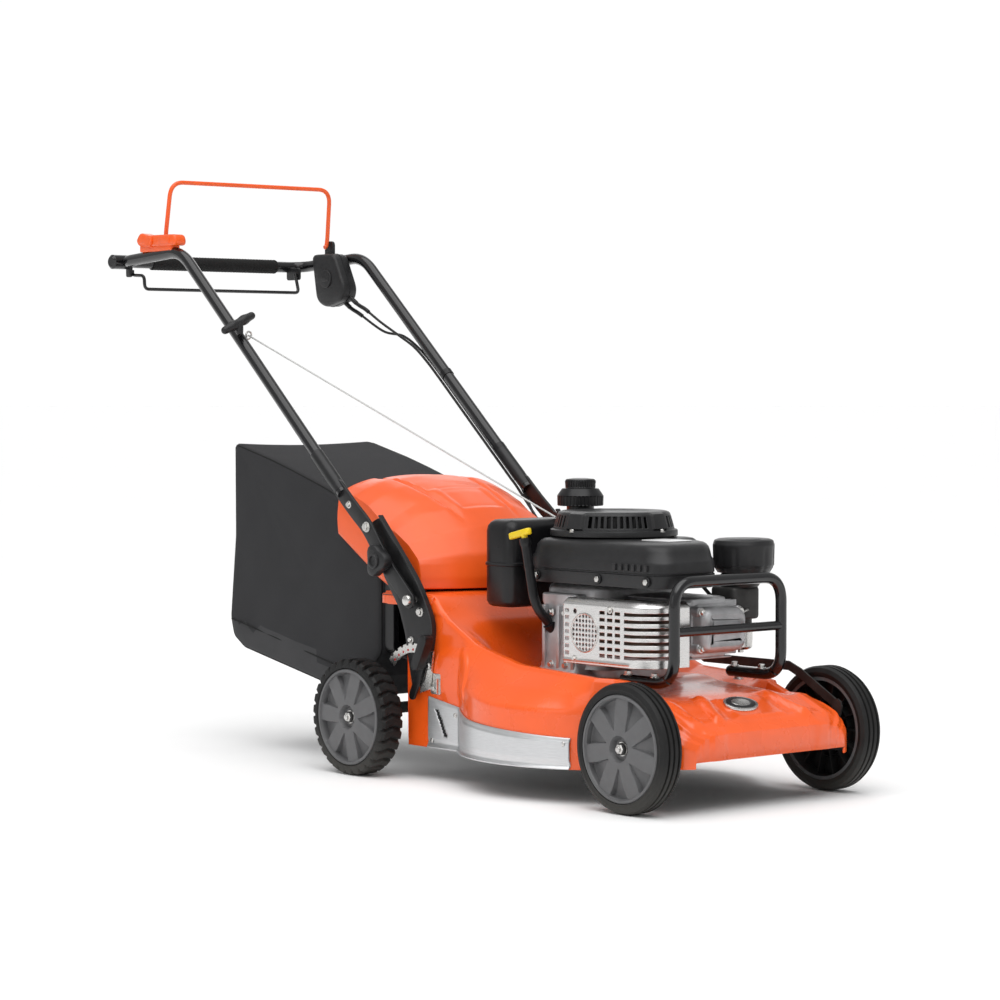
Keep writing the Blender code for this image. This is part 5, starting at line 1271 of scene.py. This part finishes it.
def bails():
    """The two wire bails: round wire carried round the same routes as their pivots allow."""
    x, z, y = -0.660, 0.957, 0.195
    route = rounded_path([(x, -y + 0.006, z), (x, -y, z + 0.003), (-0.645, -y + 0.004, 1.071),
                          (-0.645, y - 0.004, 1.071),
                          (x, y, z + 0.003), (x, y - 0.006, z)], 0.028, 12)
    piece("brake_bail_wire", [tube(respaced(route, 260), 0.0042, 18, (1, 0, 0.1))], [LOOKS["shell"]],
          "engine_bail",
          ("brake_bail",), 60)
    x, z = -0.771, 0.898
    route = rounded_path([(x, -0.196, z + 0.008), (x, -0.196, z - 0.002), (x + 0.040, -0.196, z - 0.004),
                          (x + 0.042, -0.196, z - 0.030), (x + 0.042, 0.176, z - 0.030),
                          (x + 0.030, 0.176, z + 0.008)],
                         0.010, 8)
    piece("drive_bail_wire", [tube(respaced(route, 240), 0.0033, 16, (0.3, 0.1, 0.95))], [LOOKS["tube"]],
          "traction_bail",
          ("drive_bail",), 60)


def pull_grip():
    """Moulded T grip: a swelling bar and a thick stem that tapers to the rope."""
    centre = np.array([-0.3740, -0.2288, 0.7965])
    bar_way = np.array([0.0, 0.91, 0.42])
    share = np.linspace(-1, 1, 61)
    radius = 0.0088 * np.sqrt(np.clip(1 - np.abs(share) ** 7, 0.02, 1)) * (1 - 0.10 * np.cos(share * 9.0))
    bar = tube(centre + bar_way / np.linalg.norm(bar_way) * share[:, None] * 0.040, radius, 28, (1, 0, 0))
    way = np.array([-0.280, 0.0, 0.960])
    t = np.linspace(0, 1, 20)
    neck = tube(centre - way / np.linalg.norm(way) * t[:, None] * 0.0220, 0.0086 - 0.0034 * t ** 2, 24,
                (0, 1, 0))
    piece("pull_grip_body", [bar, neck], [LOOKS["charcoal"]], "pull_grip",
          ("starter_grip",), 50)


def brackets():
    """Handle brackets with a folded rear flange, pivots, knobs, height quadrant and lever."""
    outline = corners([(-0.012, 0.438), (0.020, 0.452), (0.065, 0.405), (0.120, 0.347), (0.145, 0.311),
                       (0.166, 0.269),
                       (0.161, 0.226), (0.142, 0.165), (0.110, 0.150), (0.098, 0.200), (0.088, 0.250),
                       (0.070, 0.295),
                       (0.030, 0.345), (0.005, 0.390)], 0.012, 5)
    fold = flowing([(0.021, 0.0, 0.4535), (0.066, 0.0, 0.4065), (0.121, 0.0, 0.3485), (0.1465, 0.0, 0.3125),
                    (0.1675, 0.0, 0.2695), (0.1625, 0.0, 0.2260), (0.1440, 0.0, 0.1680)], 60)
    for side, name in ((-1, "right"), (1, "left")):
        low, high = sorted((side * 0.2035, side * 0.2065))
        shells = [slab(outline, low, high, 0.0008, "Y")]
        rings = []
        for k, (x, _, z) in enumerate(fold):
            a, b = (0.2030, 0.2125) if side > 0 else (-0.2125, -0.2030)
            rings.append([(x - 0.0010, a, z - 0.0008), (x - 0.0010, b, z - 0.0008),
                          (x + 0.0014, b, z + 0.0012),
                          (x + 0.0014, a, z + 0.0012)])
        shells.append(loft(rings))
        piece("handle_plate_" + name, shells, [LOOKS["plate"]], "chassis",
              ("handle_bracket_" + name,), 34,
              0.0, 0.0004)
        zinc = [lathe([(0.0055, 0.2050), (0.0055, 0.2223), (0.0098, 0.2223), (0.0098, 0.2262),
                       (0.0085, 0.2285), (0.0040, 0.2300)],
                      HANDLE_PIVOT, "Y", 32)]
        for x, z, r in ((0.130, 0.2900, 0.0062), (0.1560, 0.1980, 0.0055), (0.1220, 0.1640, 0.0062),
                        (0.1060, 0.2400, 0.0045)):
            zinc += bolt((x, z), "Y", 0.2064, 0.2124, r)
        if side < 0:
            zinc = [mirrored(s) for s in zinc]
        piece("bracket_bolts_" + name, zinc, [LOOKS["zinc"]], "chassis")
        grip = [stack(disc(KNOB_CENTRE, 0.0255, 120, 0.0045, 3),
                      [(0.2226, 0.003), (0.2238, 0.0010), (0.2255, 0.0), (0.2360, 0.0),
                    (0.2392, 0.0012), (0.2408, 0.0040), (0.2412, 0.0090)], "Y"),
                lathe(soft_profile([(0.0140, 0.2400), (0.0136, 0.2436), (0.0120, 0.2442), (0.0092, 0.2440),
                                    (0.0088, 0.2415),
                                    (0.0010, 0.2412)], 0.0008), KNOB_CENTRE, "Y", 36)]
        if side < 0:
            grip = [mirrored(s) for s in grip]
        piece("clamp_knob_" + name, grip, [LOOKS["charcoal"]], "knob_" + name,
              ("handle_knob_" + name,), 36)
    refined("height_quadrant_plate", "height_quadrant", LOOKS["zinc"], "chassis", 0.0006)
    dots = []
    for degrees in range(72, 140, 10):
        a = math.radians(degrees)
        dots.append(slab(disc((LEVER_PIVOT[0] + 0.0790 * math.cos(a), LEVER_PIVOT[1] + 0.0790 * math.sin(a)),
                              0.0022, 16),
                         -0.21090, -0.21045, 0.0001, "Y"))
    piece("quadrant_marks", dots, [LOOKS["red"]], "chassis")
    arm = [foot_plate([LEVER_PIVOT, (0.128, 0.165), (0.140, 0.190), (0.158, 0.228)], 0.0080, -0.2160,
                      -0.2112)]
    handle_end = foot_plate([(0.145, 0.200), (0.157, 0.222), (0.167, 0.244)], 0.0095, -0.2330, -0.2150)
    piece("height_lever_arm", [arm[0], handle_end], [LOOKS["black"]], "lever",
          ("height_lever",), 36)
    stay = [box_slab((0.158, -0.2062, 0.150), (0.184, -0.2022, 0.186), 0.004, 0.0006, "Y"),
            box_slab((0.178, -0.2120, 0.152), (0.181, -0.2030, 0.178), 0.001, 0.0005, "Y")]
    stay += [mirrored(s) for s in bolt((0.168, 0.160), "Y", 0.2060, 0.2110, 0.0050)]
    piece("height_stay", stay, [LOOKS["zinc"]], "chassis")
    tag = [box_slab((0.1560, -0.2078, 0.2300), (0.1640, -0.2060, 0.2480), 0.0015, 0.0003, "Y")]
    piece("blank_side_label", tag, [LOOKS["label"]], "chassis")


# ---------------------------------------------------------------- cables

def cable_runs():
    """Both control cables under the left tube, the lower brake cable and the taut starter rope."""
    for name, y, below, start, sag in (("brake_cable", 0.2110, 0.0150, (-0.568, 0.196, 0.845), 0.806),
                                       ("drive_cable", 0.2210, 0.0155, (-0.594, 0.200, 0.8375), 0.788)):
        route = [start, (start[0] + 0.014, start[1] + 0.001, start[2] - 0.007),
                 (start[0] + 0.030, start[1] + 0.002, start[2] - 0.014),
                 (-0.500, 0.4 * start[1] + 0.6 * y, sag)]
        for distance, slack in ((0.490, 0.020), (0.440, 0.006), (0.390, 0.001), (0.340, 0.0), (0.290, 0.0),
                                (0.240, 0.0),
                                (0.190, 0.0), (0.140, 0.0), (0.100, 0.0), (0.060, 0.0), (0.030, 0.0)):
            px, pz = on_tube(distance, below + slack)
            route.append((px, y, pz))
        route.append((-0.012, 0.2118, 0.4060) if name == "brake_cable" else (-0.032, 0.2118, 0.4160))
        line = flowing(route, 220)
        made = piece(name + "_run", [tube(line, 0.0025, 14, TUBE_UP)], [LOOKS["cable"]], "handle",
                     (name,), 60)
        ends = [tube(line[:14], 0.0040, 16, TUBE_UP)]
        ferrule = piece(name + "_relief", ends, [LOOKS["black"]], "handle", (), 60)
    line = flowing([(0.180, 0.1880, 0.400), (0.197, 0.174, 0.425), (0.215, 0.160, 0.440),
                    (0.240, 0.150, 0.440),
                    (0.260, 0.145, 0.430), (0.282, 0.139, 0.416), (0.300, 0.135, 0.400),
                    (0.320, 0.129, 0.384),
                    (0.335, 0.1235, 0.370)], 90)
    made = piece("brake_cable_lower_run", [tube(line, 0.0025, 14, (1.0, 0.3, 0.0))], [LOOKS["cable"]],
                 "chassis",
                 ("brake_cable_lower",), 60)
    x, z = on_tube(0.450)
    eye, mouth = np.array([x + 0.008, -0.196, z - 0.004]), np.array([0.3150, -0.0573, 0.4560])
    line = eye + np.linspace(0, 1, 90)[:, None] * (mouth - eye)
    rope = piece("starter_rope_run", [tube(line, 0.0016, 12, TUBE_UP)], [LOOKS["rope"]], None,
                 ("starter_rope",), 60)
    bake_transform(rope)


# ---------------------------------------------------------------- parts that keep their CAD shape

def hidden_parts():
    """Finishes for the parts under the deck and inside the engine, merged copies where they show."""
    copies = (("blade", "cutting_blade", "dark_steel", "dark_steel"),
              ("blade_screw", "blade_bolt", "zinc", "bright_steel"),
              ("crank_axle", "crankshaft", "zinc", "bright_steel"),
              ("flywheel_rotor", "flywheel", "cast", "cast_aluminium"),
              ("chute_floor", "discharge_chute", "dark_steel", "dark_steel"),
              ("gear_case", "gearbox", "cast", "cast_aluminium"),
              ("gear_pulley", "gearbox_pulley", "dark_steel", "dark_steel"),
              ("wheel_shaft", "drive_shaft", "zinc", "bright_steel"),
              ("front_axle_crank", "front_axle", "dark_steel", "dark_steel"),
              ("rear_axle_crank", "rear_axle", "dark_steel", "dark_steel"),
              ("height_link", "height_link_bar", "dark_steel", "dark_steel"),
              ("recoil_pulley", "starter_pulley", "black", "black_plastic"),
              ("vee_belt", "drive_belt", "rubber", "soft_rubber"))
    for name, node, look, slot in copies:
        refined(name, node, LOOKS[look], frame["nodes"][node]["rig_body"], 0.0005)
    for node in frame["nodes"].values():
        if not node.hide_render:
            node.data.materials.clear()
            node.data.materials.append(LOOKS["dark_steel"])


# ---------------------------------------------------------------- stage

def studio(settings):
    """Camera, flat pale floor, wide overhead light, soft boxes and a surround that is brighter behind."""
    scene = bpy.context.scene
    eye = bpy.data.objects.new("camera", bpy.data.cameras.new("camera"))
    scene.collection.objects.link(eye)
    eye.location = CAMERA_PLACE
    eye.rotation_euler = (math.pi / 2 - CAMERA_DIP, 0.0, CAMERA_YAW)
    eye.data.lens = CAMERA_LENS
    eye.data.sensor_width = 36.0
    eye.data.clip_start, eye.data.clip_end = 0.1, 100.0
    scene.camera = eye
    u = np.linspace(-60.0, 60.0, 61)
    rows = (-14.0, -4.0, 0.0, 6.0, 20.0, 90.0)
    back = np.array([-math.sin(CAMERA_YAW), math.cos(CAMERA_YAW)])
    across = np.array([math.cos(CAMERA_YAW), math.sin(CAMERA_YAW)])
    grid = np.full((len(rows), len(u), 3), -FLOOR_DROP)
    for k, distance in enumerate(rows):
        grid[k, :, :2] = back * distance + across * u[:, None]
    mesh = bpy.data.meshes.new("studio_floor")
    mesh.from_pydata(grid.reshape(-1, 3).tolist(), [], quads(len(rows), len(u)))
    mesh.materials.append(finish("studio_paper", (settings.floor,) * 3, 0.75, 0.0, 0.01, 3.0, 0.01, 200))
    mesh.shade_smooth()
    floor = bpy.data.objects.new("studio_floor", mesh)
    scene.collection.objects.link(floor)
    world = bpy.data.worlds.new("studio")
    world.use_nodes = True
    nodes, links = world.node_tree.nodes, world.node_tree.links
    where = nodes.new("ShaderNodeTexCoord")
    toward = nodes.new("ShaderNodeVectorMath")
    toward.operation = "DOT_PRODUCT"
    toward.inputs[1].default_value = (back[0], back[1], 0.0)
    links.new(where.outputs["Generated"], toward.inputs[0])
    wall = nodes.new("ShaderNodeMapRange")
    wall.inputs["From Min"].default_value, wall.inputs["From Max"].default_value = 0.86, 0.95
    wall.inputs["To Min"].default_value, wall.inputs["To Max"].default_value = settings.surround, 1.02
    links.new(toward.outputs["Value"], wall.inputs["Value"])
    links.new(wall.outputs["Result"], nodes["Background"].inputs["Strength"])
    nodes["Background"].inputs["Color"].default_value = (1.0, 1.0, 1.0, 1.0)
    scene.world = world
    scene.view_settings.view_transform = "Standard"
    sun = bpy.data.lights.new("overhead", "SUN")
    sun.energy, sun.angle = settings.overhead, math.radians(70)
    above = bpy.data.objects.new("overhead", sun)
    above.rotation_euler = (math.radians(14), math.radians(10), 0.0)
    scene.collection.objects.link(above)
    for name, place, size, power in (("key_box", (2.6, -1.2, 3.2), 2.2, settings.key),
                                     ("side_box", (0.4, -4.2, 1.6), 1.8, settings.key * 0.45),
                                     ("rim_box", (-2.8, 2.2, 2.6), 2.0, settings.key * 0.5)):
        lamp = bpy.data.lights.new(name, "AREA")
        lamp.energy, lamp.size = power, size
        made = bpy.data.objects.new(name, lamp)
        made.location = place
        aim = np.array([0.1, 0.0, 0.35]) - np.array(place)
        flat = math.hypot(aim[0], aim[1])
        made.rotation_euler = (math.pi / 2 + math.atan2(aim[2], flat), 0.0,
                               math.atan2(aim[1], aim[0]) - math.pi / 2)
        scene.collection.objects.link(made)


# ---------------------------------------------------------------- add-on

class MowerSettings(bpy.types.PropertyGroup):
    """Sizes and colours of the mower's looks."""
    paint: FloatVectorProperty(name="Paint", description="Colour of the orange parts", subtype="COLOR",
                               size=3,
                               default=(0.92, 0.112, 0.010), min=0.0, max=1.0)
    floor: FloatProperty(name="Floor", description="Brightness of the floor", default=0.99, min=0.0, max=1.0)
    surround: FloatProperty(name="Surround",
                            description="Strength of the pale surround away from the back wall", default=0.46,
                            min=0.0)
    overhead: FloatProperty(name="Overhead", description="Strength of the wide overhead light", default=1.90,
                            min=0.0)
    key: FloatProperty(name="Key light", description="Power of the largest soft box in watts", default=20.0,
                       min=0.0)


def operator(idname, label, doc, job):
    """An operator class that runs one building job."""
    def execute(self, context):
        job(context.scene.mower)
        return {"FINISHED"}
    return type("MOWER_OT_" + idname, (bpy.types.Operator,), {"bl_idname": "mower." + idname,
                                                              "bl_label": label,
                                                              "__doc__": doc, "execute": execute})


OPERATORS = (
    operator("studio", "Studio", "Makes the camera, floor and lights", studio),
    operator("finishes", "Finishes", "Makes every finish", make_looks),
    operator("cables", "Cables and rope", "Builds the cables and the starter rope", lambda s: cable_runs()),
    operator("deck", "Deck", "Builds the deck skin, edging and badge", lambda s: deck()),
    operator("trims", "Side trims", "Builds the bright guard strips", lambda s: trims()),
    operator("flap", "Rear flap", "Builds the rear flap and hinge", lambda s: rear_flap()),
    operator("bag", "Grass bag", "Builds the sewn bag and its frame", lambda s: grass_bag()),
    operator("wheels", "Wheels", "Builds the tyres, discs and nuts", lambda s: wheels()),
    operator("shroud", "Blower housing", "Builds the blower housing", lambda s: shroud()),
    operator("recoil", "Starter cover", "Builds the slotted starter cover", lambda s: recoil()),
    operator("tank", "Tank, caps and filter", "Builds the tank, caps, filter and oil pipe",
             lambda s: tank_and_caps()),
    operator("guard", "Silencer and guard", "Builds the silencer and its guard", lambda s: muffler_guard()),
    operator("engine", "Engine", "Builds the crankcase, cylinder and intake", lambda s: engine()),
    operator("cage", "Cage", "Builds the tube guard", lambda s: cage()),
    operator("handle", "Handle", "Builds the handle, straps and housings", lambda s: handle()),
    operator("bails", "Bails", "Builds the two wire bails", lambda s: bails()),
    operator("pull_grip", "Starter grip", "Builds the T grip", lambda s: pull_grip()),
    operator("brackets", "Brackets", "Builds the brackets, knobs and height lever", lambda s: brackets()),
    operator("hidden", "Inner parts", "Gives the inner parts their finishes", lambda s: hidden_parts()),
)


class MOWER_PT_panel(bpy.types.Panel):
    """Lists the building steps."""
    bl_label = "Push lawn mower"
    bl_idname = "MOWER_PT_panel"
    bl_space_type = "VIEW_3D"
    bl_region_type = "UI"
    bl_category = "Mower"

    def draw(self, context):
        """Draws the settings and a button for each step."""
        settings = context.scene.mower
        for name in ("paint", "floor", "surround", "overhead", "key"):
            self.layout.prop(settings, name)
        for step in OPERATORS:
            self.layout.operator(step.bl_idname)


CLASSES = (MowerSettings, *OPERATORS, MOWER_PT_panel)


def register():
    """Registers the settings, the building steps and the panel."""
    for entry in CLASSES:
        bpy.utils.register_class(entry)
    bpy.types.Scene.mower = PointerProperty(type=MowerSettings)


def unregister():
    """Removes what register() added."""
    del bpy.types.Scene.mower
    for entry in reversed(CLASSES):
        bpy.utils.unregister_class(entry)


def main():
    """Runs every building step in order and writes the measured size."""
    register()
    for step in OPERATORS:
        getattr(bpy.ops.mower, step.bl_idname.split(".")[1])()


if __name__ == "__main__":
    main()
